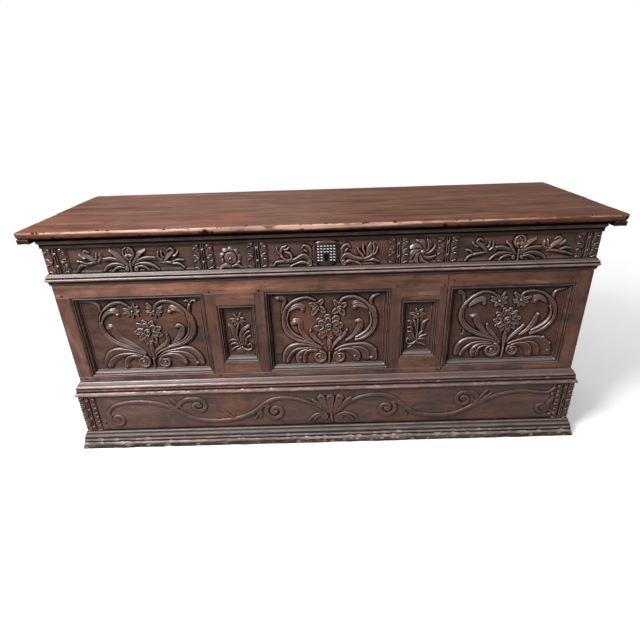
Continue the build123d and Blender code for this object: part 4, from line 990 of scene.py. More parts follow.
# Strokes of the large panels in carving order, the deepest first: kind of section, half-widths
# along the stroke, height, then its points.
PANEL_STROKES = {
    "left": [
        ("lean", (2.5, 3.5, 4.5, 5.5, 7, 8, 7, 4.5), 7.0, [
            (-540, 328), (-560, 343), (-580, 357), (-600, 370), (-612, 386), (-616, 401),
            (-621, 411), (-629, 408),
        ]),
        ("lean_r", (3, 4.5, 6, 7.5, 8.5, 7, 4.5), 7.0, [
            (-452, 345), (-438, 358), (-424, 372), (-414, 388), (-413, 402), (-422, 411),
            (-431, 407),
        ]),
        ("round", (3.5, 4.5, 5, 5.5, 6), 5.0, [
            (-640, 460), (-641, 478), (-650, 489), (-668, 494), (-690, 496),
        ]),
        ("band", (3.5, 4.5, 6, 7, 8.5, 8.5, 7.5, 6, 5.5, 5.5, 5.5, 5.5, 5.5, 5, 4), 8.0, [
            (-536, 322), (-555, 333), (-580, 343), (-603, 353), (-622, 365), (-637, 382),
            (-645, 402), (-647, 422), (-644, 441), (-634, 458), (-620, 473), (-603, 484),
            (-585, 489), (-571, 487), (-560, 479),
        ]),
        ("round", (8, 6, 5, 4.5, 4.5), 6.0, [
            (-388, 452), (-384, 468), (-381, 478), (-379, 484), (-378, 487),
        ]),
        ("round", (3.2, 3.6, 3.4), 6.0, [(-380, 481), (-386, 489), (-394, 487)]),
        ("round", (3.2, 3.8, 3.4), 6.0, [(-379, 481), (-371, 490), (-363, 488)]),
        ("round", (3.5, 3, 2.5), 3.5, [(-380, 493), (-362, 494), (-344, 494)]),
        ("band_r", (3.5, 4, 4.5, 5, 6, 8, 10, 12, 13, 13, 11, 8, 6, 5.5, 5.5, 5.5, 5, 4), 8.0, [
            (-511, 302), (-503, 318), (-485, 332), (-462, 341), (-440, 347), (-420, 354),
            (-402, 365), (-389, 382), (-383, 402), (-383, 424), (-390, 446), (-400, 461),
            (-412, 474), (-426, 484), (-441, 489), (-457, 489), (-471, 483), (-482, 473),
        ]),
        ("lean_r", (2.5, 4, 5.5, 6, 6.5, 4.5), 7.4, [
            (-642, 431), (-633, 446), (-621, 456), (-608, 460), (-597, 457), (-592, 449),
        ]),
        ("lean", (2.5, 5, 6.5, 7, 4.5), 7.4, [
            (-400, 445), (-411, 457), (-422, 463), (-433, 463), (-442, 455),
        ]),
        ("vein", (3, 3.5, 4.5, 6, 8, 7, 3.5), 7.6, [
            (-514, 288), (-512, 313), (-500, 330), (-482, 343), (-468, 353), (-461, 366),
            (-462, 381),
        ]),
        ("lean_r", (3, 4.5, 5.5, 7, 9.5, 9.5, 9, 8, 6), 7.6, [
            (-538, 316), (-560, 326), (-580, 331), (-600, 334), (-620, 333), (-637, 327),
            (-649, 315), (-658, 300), (-663, 285),
        ]),
        ("lean", (3, 5, 5.5, 6.5, 9, 10, 10, 9.5, 8), 7.6, [
            (-497, 308), (-478, 322), (-458, 328), (-435, 331), (-412, 333), (-394, 326),
            (-381, 313), (-372, 298), (-369, 285),
        ]),
        ("lean", (3, 4, 6, 8, 9, 9, 8), 6.8, [
            (-492, 306), (-470, 319), (-440, 321), (-416, 315), (-402, 305), (-394, 293),
            (-390, 282),
        ]),
        ("lean_r", (3, 4.5, 5.5, 6, 6.5, 7, 7.5, 7), 7.8, [
            (-541, 311), (-570, 319), (-592, 320), (-612, 317), (-629, 309), (-641, 299),
            (-649, 288), (-652, 281),
        ]),
        ("lean", (3, 4.5, 5.5, 7.5, 9, 9, 7), 7.8, [
            (-499, 298), (-487, 309), (-468, 315), (-448, 313), (-433, 306), (-424, 295),
            (-420, 285),
        ]),
        ("lean_r", (3, 4.5, 5.5, 6, 6, 6.5, 6.5), 8.0, [
            (-545, 307), (-562, 312), (-577, 312), (-590, 306), (-598, 296), (-601, 285),
            (-601, 277),
        ]),
    ],
    "centre": [
        ("lean", (2.5, 3.5, 4.5, 5, 5.5, 6.5, 6.5, 4.5), 7.0, [
            (-30, 340), (-45, 352), (-58, 365), (-66, 380), (-68, 395), (-71, 407), (-80, 411),
            (-89, 405),
        ]),
        ("vein", (4, 5.5, 7.5, 10, 11, 8, 4.5), 7.0, [
            (68, 345), (84, 357), (97, 372), (107, 388), (109, 401), (104, 410), (96, 407),
        ]),
        ("round", (6, 5.5, 6, 9, 6), 5.4, [
            (-116, 440), (-113, 462), (-108, 478), (-117, 487), (-132, 489),
        ]),
        ("band", (3.5, 5, 6.5, 7.5, 8, 8, 7.5, 7, 6.5, 6, 6, 6, 5.5, 5, 4.5, 3.5), 8.2, [
            (-8, 323), (-35, 337), (-60, 347), (-85, 358), (-103, 373), (-112, 392), (-114, 415),
            (-112, 438), (-105, 455), (-96, 465), (-86, 474), (-73, 481), (-58, 486), (-44, 487),
            (-32, 483), (-21, 477),
        ]),
        ("round", (2.5, 3.5, 3.5, 3.2, 3, 2.2), 7.4, [
            (-58, 355), (-80, 367), (-95, 383), (-103, 403), (-104, 425), (-99, 442),
        ]),
        ("round", (8, 6.5, 6, 5.5, 4.5), 6.4, [
            (142, 452), (138, 467), (141, 480), (150, 488), (161, 492),
        ]),
        ("band_r", (5, 7, 8.5, 9, 9, 9, 8, 8, 9, 8, 6.5, 5.5, 5.5, 5.5, 5, 4), 8.2, [
            (96, 348), (116, 354), (133, 366), (145, 382), (151, 401), (151, 422), (147, 440),
            (138, 450), (128, 459), (118, 470), (106, 479), (93, 485), (80, 486), (67, 484),
            (57, 479), (50, 471),
        ]),
        ("round", (4, 4.5, 4.5, 4, 3.5, 2.5), 8.6, [
            (95, 356), (112, 366), (128, 379), (138, 396), (140, 415), (135, 434),
        ]),
        ("lean_r", (2.5, 4.5, 6, 6.5, 6.5, 5), 7.6, [
            (-100, 443), (-90, 453), (-78, 459), (-68, 460), (-60, 455), (-59, 447),
        ]),
        ("lean", (3, 5.5, 7, 7.5, 5.5), 7.4, [
            (128, 447), (117, 455), (106, 459), (96, 460), (91, 452),
        ]),
        ("lean", (2.5, 3.5, 4.5, 4.5, 3), 6.8, [
            (-4, 332), (-18, 346), (-30, 358), (-37, 370), (-39, 381),
        ]),
        ("vein", (3, 4.5, 6, 7, 7, 3.5), 7.6, [
            (22, 312), (30, 330), (42, 345), (54, 357), (64, 369), (69, 382),
        ]),
        ("lean_r", (3, 4.5, 5.5, 7, 9, 9.5, 9, 8, 7), 7.6, [
            (-8, 321), (-30, 328), (-50, 333), (-70, 334), (-88, 331), (-103, 323), (-113, 310),
            (-118, 296), (-119, 282),
        ]),
        ("lean", (3, 5, 5.5, 6.5, 8.5, 10, 11, 11, 9), 7.6, [
            (34, 314), (52, 324), (70, 329), (90, 330), (110, 330), (128, 325), (143, 314),
            (151, 299), (153, 284),
        ]),
        ("lean", (4, 6, 8, 9, 9), 6.6, [(80, 319), (102, 319), (118, 312), (128, 300), (131, 286)]),
        ("lean_r", (3, 4, 5, 5.5, 5.5, 5.5, 5.5, 5), 7.8, [
            (-12, 314), (-35, 321), (-60, 322), (-80, 319), (-94, 310), (-103, 298), (-109, 286),
            (-111, 278),
        ]),
        ("lean", (3, 4.5, 5.5, 8, 10, 10, 8), 7.8, [
            (38, 303), (48, 312), (64, 316), (82, 312), (95, 304), (102, 292), (100, 282),
        ]),
        ("lean_r", (4, 7, 10, 11, 9), 7.2, [
            (-34, 318), (-54, 314), (-68, 305), (-76, 293), (-76, 280),
        ]),
        ("lean_r", (3, 4.5, 5, 5, 5, 5, 5), 8.2, [
            (-14, 310), (-30, 315), (-46, 314), (-55, 306), (-59, 295), (-60, 284), (-59, 277),
        ]),
    ],
    "door": [
        ("lean", (2.5, 3.5, 5, 6, 7.5, 7.5, 4.5), 6.8, [
            (505, 338), (485, 352), (466, 368), (453, 385), (446, 400), (441, 411), (433, 411),
        ]),
        ("vein", (4, 6, 8, 9, 8.5, 6), 7.0, [
            (582, 347), (598, 359), (609, 372), (617, 387), (621, 401), (624, 413),
        ]),
        ("round", (6, 5.5, 6, 8), 5.4, [(407, 456), (404, 472), (400, 483), (391, 490)]),
        ("band", (3.5, 5, 6.5, 7.5, 8, 8.5, 8.5, 8, 7.5, 6.5, 6, 5.5, 5, 4.5, 4, 3.5), 8.0, [
            (522, 326), (500, 338), (475, 348), (450, 358), (428, 371), (412, 388), (402, 408),
            (401, 430), (407, 448), (417, 462), (427, 472), (440, 481), (455, 488), (471, 488),
            (486, 483), (498, 474),
        ]),
        ("round", (7, 6, 5.5, 5, 4), 6.2, [
            (659, 454), (658, 468), (661, 480), (670, 488), (685, 491),
        ]),
        ("band_r", (5, 7, 8.5, 9, 9, 9, 8.5, 9, 8.5, 6.5, 5.5, 5, 5, 4.5, 3.5), 8.0, [
            (612, 351), (635, 361), (652, 374), (665, 391), (670, 410), (669, 428), (661, 446),
            (651, 459), (640, 469), (629, 478), (615, 484), (600, 487), (584, 486), (573, 481),
            (567, 472),
        ]),
        ("round", (4, 5, 5, 4.5, 4, 3), 8.4, [
            (613, 362), (631, 373), (648, 386), (658, 402), (660, 420), (654, 438),
        ]),
        ("lean_r", (2.5, 5, 6.5, 7, 6, 4.5), 7.6, [
            (422, 446), (432, 455), (444, 461), (455, 463), (462, 459), (463, 450),
        ]),
        ("lean", (4, 6, 7, 7, 5), 7.4, [
            (641, 450), (631, 459), (620, 464), (611, 462), (607, 453),
        ]),
        ("lean", (2.5, 3.5, 4.5, 4.5, 3), 6.6, [
            (520, 330), (506, 345), (493, 358), (484, 371), (480, 384),
        ]),
        ("vein", (3.5, 5, 7, 7.5, 4.5), 7.2, [
            (545, 325), (556, 340), (568, 352), (579, 364), (588, 377),
        ]),
        ("lean_r", (3, 4, 5, 6, 8.5, 10, 10, 9, 8), 7.6, [
            (522, 320), (503, 328), (482, 333), (460, 336), (440, 336), (422, 332), (408, 322),
            (400, 307), (398, 291),
        ]),
        ("lean", (3, 4.5, 5.5, 6.5, 9, 11, 12, 11.5, 9), 7.6, [
            (552, 318), (570, 326), (590, 331), (610, 335), (632, 334), (650, 326), (665, 313),
            (673, 297), (674, 284),
        ]),
        ("lean", (4, 6, 8, 8, 7), 6.6, [
            (600, 323), (622, 318), (636, 307), (642, 294), (642, 283),
        ]),
        ("lean_r", (3, 4.5, 5.5, 6, 6.5, 6.5, 6.5), 7.8, [
            (515, 315), (490, 324), (465, 326), (445, 322), (430, 312), (419, 300), (412, 287),
        ]),
        ("lean", (3, 4.5, 6, 8, 9, 8.5, 7), 7.8, [
            (553, 305), (566, 315), (584, 318), (602, 314), (613, 304), (618, 292), (617, 281),
        ]),
        ("lean_r", (3, 5, 7, 9, 9, 7.5), 7.4, [
            (512, 313), (490, 319), (469, 317), (454, 308), (447, 296), (448, 283),
        ]),
        ("lean_r", (3, 4, 4.5, 4.5, 4.5), 8.0, [
            (502, 311), (482, 314), (467, 308), (461, 297), (460, 283),
        ]),
    ],
}
# Volutes: middle, radius, starting angle, turns. Bulbs: place and radius. Then the rose: place,
# radius, turn, petals in its outer ring and width of their ends.
PANEL_ROUNDS = {
    "left": (
        [(-546, 292, 23, 75, -1.45), (-481, 290, 20, 140, 1.45)],
        [(-652, 283, 5.5), (-601, 279, 5.5), (-592, 450, 5), (-621, 411, 7), (-462, 381, 3.5),
         (-442, 456, 5), (-424, 410, 7), (-420, 289, 5), (-385, 283, 6), (-376, 307, 4.5),
         (-391, 326, 6)],
        (-515, 391, 38, 20, 9, 0.5),
    ),
    "centre": (
        [(-13, 292, 23, 75, -1.45), (47, 291, 21, 140, 1.45)],
        [(-60, 280, 5), (-72, 291, 5), (-111, 281, 4.5), (-59, 449, 5), (-82, 408, 7),
         (-39, 381, 4), (92, 454, 6), (103, 408, 7), (69, 381, 4), (143, 284, 6), (93, 291, 5.5),
         (154, 311, 5), (-127, 486, 6)],
        (16, 392, 37, 8, 8, 0.95),
    ),
    "door": (
        [(503, 299, 27, 60, -1.5), (566, 298, 21, 140, 1.45)],
        [(411, 286, 5.5), (450, 294, 5), (463, 453, 6), (438, 412, 7), (480, 385, 4),
         (609, 456, 6), (619, 287, 5), (673, 291, 7), (674, 317, 5), (652, 335, 7), (624, 413, 5)],
        (537, 397, 38, 14, 11, 0.7),
    ),
}


carved_x = wood("carved", "x", 0.0)
frame_x, frame_z = wood("frame", "x", 0.3), wood("frame", "z", 0.7)
run_x = wood("run", "x", 0.2)


def field_relief(name, seed, step=1.08):
    low_x, high_x, low_z, high_z = FIELDS[name]
    return Relief(low_x + 0.2, high_x - 0.2, low_z + 0.2, high_z - 0.2, step, seed)


def carve_large(name, seed):
    """A heart of scrolls round a rose, the design of the three large panels."""
    relief = field_relief(name, 10 + seed)
    for section, widths, height, points in PANEL_STROKES[name]:
        heights = [height * share for share in (0.82, 1.0, 1.0, 0.95, 0.95, 0.9)]
        relief.stroke(points, widths, heights, section, 0.35, 0.6)
    volutes, bulbs, (x, z, radius, turn, petals, tip) = PANEL_ROUNDS[name]
    for at_x, at_z, size, angle, turns in volutes:
        relief.volute(at_x, at_z, size, 8.6, angle, turns, size * 0.25)
    for at_x, at_z, size in bulbs:
        relief.dome(at_x, at_z, size, 6.9, 4.0)
    relief.stroke([(x - 1, 272), (x, 290), (x + 1, 314)], [3.5, 3.4, 3.0], [6.0, 7.0])
    bud = [(x + 1, 308), (x + 1, 332), (x + 1, 362)]
    relief.stroke(bud, [2.5, 8.0, 4.0], [7.0, 8.4, 6.5], "vein")
    relief.rose(x, z, radius, 9.6, turn, np.random.default_rng(seed), petals, tip)
    return relief


def carve_small(relief, strokes):
    """The sprigs of the two small panels, each carved in its own way."""
    for section, widths, height, points in strokes:
        heights = [0.85 * height, height, height, 0.9 * height]
        relief.stroke(points, widths, heights, section, 0.35, 0.6)


def panel_slab(name, relief, body):
    """Finishes a panel's relief and makes its piece."""
    relief.finish()
    slab(f"{name}_panel", relief, PANEL_GROUND_Y, FRAME_BACK_Y, body, carved_x)


left = carve_large("left", 1)
left.bloom(-548, 460, 8.6, [
    (160, 28, 4.5), (192, 27, 4.0), (222, 24, 4.0), (262, 22, 5.0), (118, 20, 4.0),
    (72, 25, 4.2), (40, 25, 4.2), (2, 22, 4.4), (318, 22, 4.5),
])
left.bloom(-486, 459, 8.6, [
    (122, 31, 4.2), (146, 24, 4.0), (182, 24, 4.6), (222, 20, 4.4), (25, 29, 4.2),
    (352, 25, 4.6), (318, 23, 4.6), (276, 22, 4.6), (70, 17, 4.0),
])
panel_slab("left", left, "case")

centre = carve_large("centre", 2)
centre.bloom(-15, 459, 8.8, [(162, 26, 8.5), (240, 34, 8.5), (52, 27, 8.0), (318, 31, 8.5)], 0.0)
centre.stroke([(-24, 468), (-15, 460), (-10, 447)], 2.6, 9.6)
centre.bloom(48, 451, 8.8, [
    (120, 30, 7.5), (38, 26, 9.0), (218, 27, 9.0), (300, 27, 9.5), (84, 20, 6.0),
], 0.0)
centre.stroke(spiral(48, 451, 8, 1, 30, 1.4), 2.4, 10.2)
centre.groove([(118, 446), (140, 445.5), (158, 445.5), (176, 446)], 1.1, 2.4)
panel_slab("centre", centre, "case")

door = carve_large("door", 3)
door.bloom(506, 459, 8.6, [
    (62, 31, 3.8), (178, 24, 5.0), (150, 28, 4.4), (28, 25, 5.0), (342, 25, 6.0),
    (302, 23, 6.0), (236, 21, 5.5), (108, 20, 4.2),
])
door.bloom(567, 460, 8.6, [
    (130, 31, 6.5), (18, 31, 4.8), (342, 25, 6.0), (304, 24, 7.0), (258, 22, 6.0),
    (205, 21, 5.0), (182, 22, 4.0), (72, 16, 4.4),
])
door.finish()
KEYHOLE_X, KEYHOLE_Z = 409, 366
hole = (np.hypot(door.x - KEYHOLE_X, door.z - KEYHOLE_Z) < 4.0) | (
    (abs(door.x - KEYHOLE_X) < 2.6) & (door.z < KEYHOLE_Z) & (door.z > KEYHOLE_Z - 12)
)
door.h = np.where(blurred(hole.astype(float), 0.7) > 0.5, -9.6, door.h)
slab("door_panel", door, PANEL_GROUND_Y, FRAME_BACK_Y, "door", carved_x)

small = field_relief("left_small", 14, 1.1)
small.dome(-250, 322, 15, 3.5, 2.0)
carve_small(small, (
    ("lean", (2, 4, 6, 5.5, 3.5), 4.6, [
        (-251, 350), (-260, 366), (-265, 384), (-269, 397), (-276, 405),
    ]),
    ("ribs", (3, 4.5, 5.5, 6.5, 5.5), 6.6, [
        (-245, 346), (-245, 369), (-239, 385), (-230, 395), (-219, 402),
    ]),
    ("lean", (2.5, 3.2, 3.8, 4.2, 3.2), 6.2, [
        (-238, 340), (-238, 358), (-234, 371), (-228, 379), (-219, 384),
    ]),
    ("lean", (2.2, 3.0, 3.6, 3.8, 2.8), 6.0, [
        (-232, 338), (-231, 352), (-226, 363), (-220, 368), (-216, 369),
    ]),
    ("round", (2.5, 3.2, 3.8, 3.8, 3.4, 3.0, 2.2), 6.2, [
        (-248, 340), (-241, 329), (-229, 323), (-218, 325), (-214, 334), (-219, 343), (-226, 339),
    ]),
    ("lean_r", (2.5, 4, 4.6, 2.8), 6.0, [(-246, 350), (-257, 355), (-269, 358), (-279, 355)]),
    ("lean_r", (2.5, 4, 4.6, 3), 6.0, [(-244, 341), (-256, 344), (-268, 346), (-277, 342)]),
    ("lean_r", (2.5, 3.6, 3.6, 2.4), 5.6, [(-248, 338), (-259, 334), (-269, 329), (-276, 323)]),
    ("round", (2.8, 3.0, 3.2, 3.2, 3.0), 5.8, [
        (-248, 336), (-252, 352), (-256, 374), (-253, 392), (-247, 412),
    ]),
))
small.bloom(-247, 425, 7.4, [
    (178, 24, 3.4), (205, 22, 3.2), (128, 21, 3.4), (66, 22, 3.6), (12, 20, 3.4),
    (-24, 22, 3.4), (-58, 24, 3.6), (-122, 24, 3.6),
])
panel_slab("left_small", small, "case")

small = field_relief("right_small", 15, 1.1)
carve_small(small, (
    ("lean", (2.5, 3.5, 5, 6, 4), 6.4, [
        (282, 350), (289, 366), (291, 382), (294, 396), (304, 404),
    ]),
    ("vein", (2.5, 4, 5, 3.5), 5.2, [(277, 352), (275, 372), (271, 388), (266, 402)]),
    ("round", (2, 3, 2.2), 5.6, [(279, 352), (284, 362), (292, 371)]),
    ("round", (2, 3.2, 2.6), 6.2, [(282, 348), (291, 354), (303, 357)]),
    ("round", (2, 2.8, 2.2), 5.6, [(278, 341), (287, 344), (298, 344)]),
    ("lean", (2.5, 3.2, 2.5), 4.4, [(276, 330), (290, 327), (302, 320)]),
    ("round", (2.2, 3.0, 2.2), 5.0, [(252, 316), (264, 325), (280, 334)]),
    ("round", (2.2, 3, 3.2, 3.2, 3, 2), 5.0, [
        (274, 336), (264, 328), (252, 327), (246, 336), (249, 345), (256, 341),
    ]),
    ("round", (2.6, 3.0, 3.0, 2.6), 5.8, [
        (277, 330), (276, 352), (276, 376), (277, 396), (275, 410),
    ]),
    ("lean_r", (1.8, 3.0, 3.2, 2.2), 3.6, [(272, 342), (264, 358), (259, 376), (257, 394)]),
    ("round", (1.8, 3.0, 2.2), 4.8, [(262, 396), (254, 403), (246, 402)]),
    ("round", (1.8, 3.0, 2.2), 5.0, [(264, 374), (256, 382), (248, 382)]),
    ("round", (1.8, 2.8, 2.2), 4.8, [(266, 360), (257, 368), (249, 368)]),
))
small.bloom(275, 425, 7.4, [
    (176, 24, 5.2), (48, 22, 5.0), (-2, 24, 4.6), (-34, 20, 4.2), (-88, 18, 4.4), (228, 19, 4.4),
    (110, 17, 4.2),
], 4.0)
panel_slab("right_small", small, "case")

for number, (name, node) in enumerate((
    ("left", "left_panel_moulding"), ("centre", "centre_panel_moulding"),
    ("door", "door_panel_moulding"), ("left_small", "left_small_moulding"),
    ("right_small", "right_small_moulding"),
)):
    body = "door" if name == "door" else "case"
    framed_moulding(node, FIELDS[name], body, run_x, 21 + number)

# ---------------------------------------------------------------- frieze
# Left edge and width of each planted block.
FRIEZE_BLOCKS = [(-750, 66), (-348, 58), (-202, 58), (180, 58), (312, 58), (684, 66)]
frieze = Relief(-CASE_HALF, CASE_HALF, FRIEZE_LOW - 1, FRIEZE_HIGH + 1, 1.12, 31)
# The foliage of the two long fields and of both sides of the lock, the deepest strokes first: kind
# of section, half-widths along the stroke, then its points.
FRIEZE_STROKES = [
    # left field
    ("lean_r", (4, 6, 6.5, 6, 5), [
        (-532, 602), (-548, 615), (-570, 622), (-595, 619), (-617, 616),
    ]),
    ("lean_r", (4, 5.5, 6, 5.5, 5), [
        (-613, 613), (-630, 609), (-648, 606), (-660, 599), (-668, 587),
    ]),
    ("lean_r", (3, 4.5, 3), [(-636, 607), (-650, 614), (-662, 617)]),
    ("lean_r", (3.5, 6, 6.5, 6, 4.5), [
        (-538, 602), (-555, 606), (-572, 604), (-585, 597), (-594, 587),
    ]),
    ("lean_r", (3.5, 5.5, 5.5, 4), [(-538, 595), (-552, 597), (-562, 592), (-570, 585)]),
    ("lean", (3.5, 5.5, 6, 3.5), [(-527, 600), (-543, 619), (-557, 634), (-568, 643)]),
    ("lean", (4, 6, 6.5, 6, 5), [(-510, 601), (-496, 614), (-474, 621), (-450, 620), (-430, 613)]),
    ("lean", (4, 5, 5.5, 5, 3.5), [
        (-436, 610), (-420, 607), (-402, 605), (-386, 601), (-374, 591),
    ]),
    ("lean", (3, 5, 3), [(-402, 609), (-388, 613), (-373, 612)]),
    ("lean", (3.5, 6, 6.5, 6, 4.5), [
        (-506, 602), (-490, 606), (-470, 604), (-455, 597), (-444, 587),
    ]),
    ("lean", (3.5, 5.5, 5.5, 4), [(-504, 596), (-488, 598), (-478, 592), (-471, 585)]),
    ("lean_r", (3.5, 5.5, 6.5, 3.5), [(-516, 600), (-504, 618), (-490, 632), (-474, 642)]),
    # right field
    ("lean_r", (4, 6, 6.5, 6, 5), [(522, 602), (508, 613), (488, 620), (465, 619), (444, 613)]),
    ("lean_r", (4, 5, 5.5, 5, 4), [(448, 607), (430, 605), (412, 602), (399, 596), (392, 586)]),
    ("lean_r", (3.5, 6, 6.5, 6, 4.5), [(514, 602), (497, 604), (480, 602), (467, 595), (458, 586)]),
    ("lean_r", (3.5, 5.5, 5.5, 4), [(516, 595), (502, 596), (491, 591), (485, 584)]),
    ("lean", (3, 4.5, 4.5, 3), [(527, 600), (517, 613), (510, 624), (500, 633)]),
    ("lean", (4, 6, 6.5, 6, 5), [(541, 600), (552, 611), (570, 617), (594, 617), (616, 614)]),
    ("lean", (4, 5, 5, 4), [(612, 608), (634, 606), (656, 602), (680, 594)]),
    ("lean", (3, 5.5, 3), [(646, 610), (660, 614), (675, 612)]),
    ("lean", (3.5, 6, 6.5, 5.5, 4.5), [(550, 600), (570, 604), (588, 600), (601, 593), (609, 585)]),
    ("lean", (3.5, 5.5, 5.5, 4), [(548, 594), (562, 595), (574, 590), (582, 583)]),
    ("lean_r", (3.5, 5.5, 6.5, 3.5), [(537, 602), (547, 618), (560, 631), (575, 641)]),
    ("round", (3, 4.2, 2.5), [(410, 606), (402, 614), (392, 616)]),
    # left of the lock
    ("round", (3, 4.5, 4.5, 3), [(-30, 617), (-38, 625), (-45, 630)]),
    ("lean_r", (4.5, 6, 6.5, 6, 5, 3.5), [
        (-17, 598), (-25, 610), (-27, 625), (-34, 637), (-45, 641), (-52, 634),
    ]),
    ("lean_r", (4.5, 6, 6, 4.5, 3.5), [(-34, 588), (-47, 594), (-60, 596), (-73, 590), (-84, 584)]),
    ("lean_r", (5, 7.5, 8, 7, 6.5, 6, 5.5, 4), [
        (-28, 597), (-38, 609), (-48, 614), (-61, 608), (-74, 602), (-98, 599), (-121, 597),
        (-130, 586),
    ]),
    ("round", (3, 4.5, 5, 3.5), [(-84, 601), (-80, 612), (-86, 622), (-96, 625)]),
    ("ribs", (3.5, 5, 5.5, 5, 3), [(-95, 601), (-106, 611), (-109, 624), (-104, 637), (-93, 642)]),
    ("round", (2.5, 3.5, 2.5), [(-107, 618), (-116, 625), (-119, 636)]),
    ("round", (2.5, 3.5, 2.5), [(-101, 632), (-92, 633), (-86, 638)]),
    # right of the lock
    ("round", (3, 4.5, 4.5, 3), [(58, 617), (66, 625), (72, 630)]),
    ("lean", (4.5, 6, 6.5, 6, 5, 3.5), [
        (45, 598), (53, 610), (55, 625), (62, 637), (72, 641), (79, 634),
    ]),
    ("lean", (4.5, 6, 6, 4.5, 3.5), [(62, 588), (74, 594), (87, 596), (98, 591), (106, 584)]),
    ("lean", (5, 7.5, 8, 7, 6.5, 6, 5.5, 4), [
        (54, 597), (62, 609), (72, 613), (84, 607), (96, 602), (116, 599), (138, 598), (156, 591),
    ]),
    ("round", (3, 4.5, 4.5, 3), [(117, 603), (110, 613), (103, 621), (99, 630)]),
    ("round", (2.5, 4, 3), [(120, 612), (114, 626), (113, 638)]),
    ("ribs", (4, 8, 10, 9, 4.5), [(124, 602), (129, 614), (130, 628), (134, 643)]),
    ("lean", (3.5, 5.5, 6, 5, 3), [(116, 600), (130, 604), (140, 613), (144, 626), (141, 641)]),
    ("round", (2.5, 3.5, 2.5), [(141, 610), (149, 619), (152, 631)]),
]
for section, widths, points in FRIEZE_STROKES:
    widths = [0.78 * width for width in widths]
    frieze.stroke(points, widths, [6.0, 7.2, 7.2, 6.4], section, 0.35, 0.6)
# A rolled leaf with small ones at its foot, on top of each long stem.
for x, side in ((-614, -1), (-424, 1), (446, -1), (616, 1)):
    for widths, path in (
        ((2.2, 3.2, 3.0, 2.0), [(-8, 612), (-17, 621), (-16, 634)]),
        ((2.2, 3.2, 2.8, 2.0), [(3, 617), (-6, 624), (-7, 636)]),
        ((2.2, 3.4, 3.2, 2.2), [(16, 626), (29, 626), (38, 634)]),
        ((3.0, 4.0, 4.4, 3.8, 3.2, 2.4), [
            (0, 612), (9, 621), (19, 629), (27, 638), (20, 645), (11, 640),
        ]),
    ):
        points = [(x + side * across, z) for across, z in path]
        section = "lean" if side < 0 else "lean_r"
        frieze.stroke(points, widths, [6.0, 7.0, 7.0], section, 0.4, 0.6)
# Curled ends at the foot of the stems.
for x, z, radius in (
    (-532, 591, 8), (-507, 590, 8), (523, 590, 7), (545, 590, 7), (-33, 590, 9.5), (62, 590, 9.5),
):
    frieze.volute(x, z, radius, 7.0, 90, 1.0 if x > 0 else -1.0, radius * 0.28)
# The bud in the middle of each long field.
for x in (-519.5, 534):
    frieze.stroke([(x, 583), (x, 598), (x, 612)], [3.2, 3.4, 3.0], 6.6)
    frieze.dome(x, 634, 15, 4.6, 5.0, 0.4)
    sepal = ((3, 618), (13, 630), (11, 645), (2, 652))
    for side in (-1, 1):
        frieze.stroke([(x + side * across, z) for across, z in sepal], [2.5, 4, 4, 2.5], 6.8)
        frieze.dome(x + side * 5.5, 628, 6.0, 7.6)
    frieze.petal(x, 634, 90, 2, 13, 4.5, 6.6, "vein")
# The left rosette in a wreath of leaves, and the right pinwheel.
ROSETTE_X, PINWHEEL_X = -246, 275
for angle in range(20, 380, 40):
    across, up = 20 * math.cos(math.radians(angle)), 20 * math.sin(math.radians(angle))
    frieze.petal(ROSETTE_X + across, 613 + up, angle + 55, 2, 17, 4.0, 5.6, "lean", 40)
frieze.dome(ROSETTE_X, 612, 18, 4.2, 5.0, 0.5)
frieze.bloom(ROSETTE_X, 612, 6.8, [
    (80, 16, 4.5), (135, 16, 4.5), (190, 16, 4.5), (245, 15, 4.5), (300, 15, 4.5), (0, 16, 4.5),
    (40, 15, 4),
])
for side in (-1, 1):
    points = [(ROSETTE_X + side * across, z) for across, z in ((4, 588), (15, 592), (30, 584))]
    frieze.stroke(points, [4, 5, 3], 5.6, "lean")
for angle in range(10, 370, 45):
    frieze.petal(PINWHEEL_X, 613, angle, 5, 36, 5.4, 6.4, "lean", 62, 0.5)
frieze.dome(PINWHEEL_X, 613, 8.0, 7.4)
# The raised seat of the lock plate, and the board's uneven lower edge.
frieze.dome(LOCK_X, LOCK_Z, 40, 6.2, 7.0, 0.4)
sill_width = 9.0 + 2.5 * noise(frieze.x[..., None] * (1, 0, 0), 60.0, 9)
sill = 2.4 * np.clip(1 - (frieze.z - FRIEZE_LOW + 0.5) / sill_width, 0, 1)
frieze.h = np.maximum(frieze.h, sill)
frieze.finish(0.6, 0.2, 0.12, 0.6)
shield = np.maximum(abs(frieze.x - LOCK_X) / 34.5, abs(frieze.z - LOCK_Z) / 29.5) < 1
frieze.h = np.where(shield, np.minimum(frieze.h, 5.9), frieze.h)
for block_x, block_width in FRIEZE_BLOCKS:
    under = (frieze.x > block_x - 0.5) & (frieze.x < block_x + block_width + 0.5)
    frieze.h = np.where(under, -0.3, frieze.h)
frieze.h = np.clip(frieze.h, -1.2, 8.2)
plain = (frieze.z < FRIEZE_LOW) | (frieze.z > FRIEZE_HIGH)
frieze.h = np.where(plain, FRIEZE_GROUND_Y - FRONT_Y, frieze.h)


def stretch_rows(relief, low_z, high_z):
    """Plain rows added below and above a carved band, up to the board's edges."""
    relief.zs = np.concatenate(([low_z], relief.zs, [high_z]))
    relief.h = np.vstack([relief.h[:1], relief.h, relief.h[-1:]])
    relief.x, relief.z = np.meshgrid(relief.xs, relief.zs)


stretch_rows(frieze, WAIST_LOW, LID_LOW)
slab("frieze_board", frieze, FRIEZE_GROUND_Y, FRAME_BACK_Y, "case", wood("frieze", "x", 0.0))


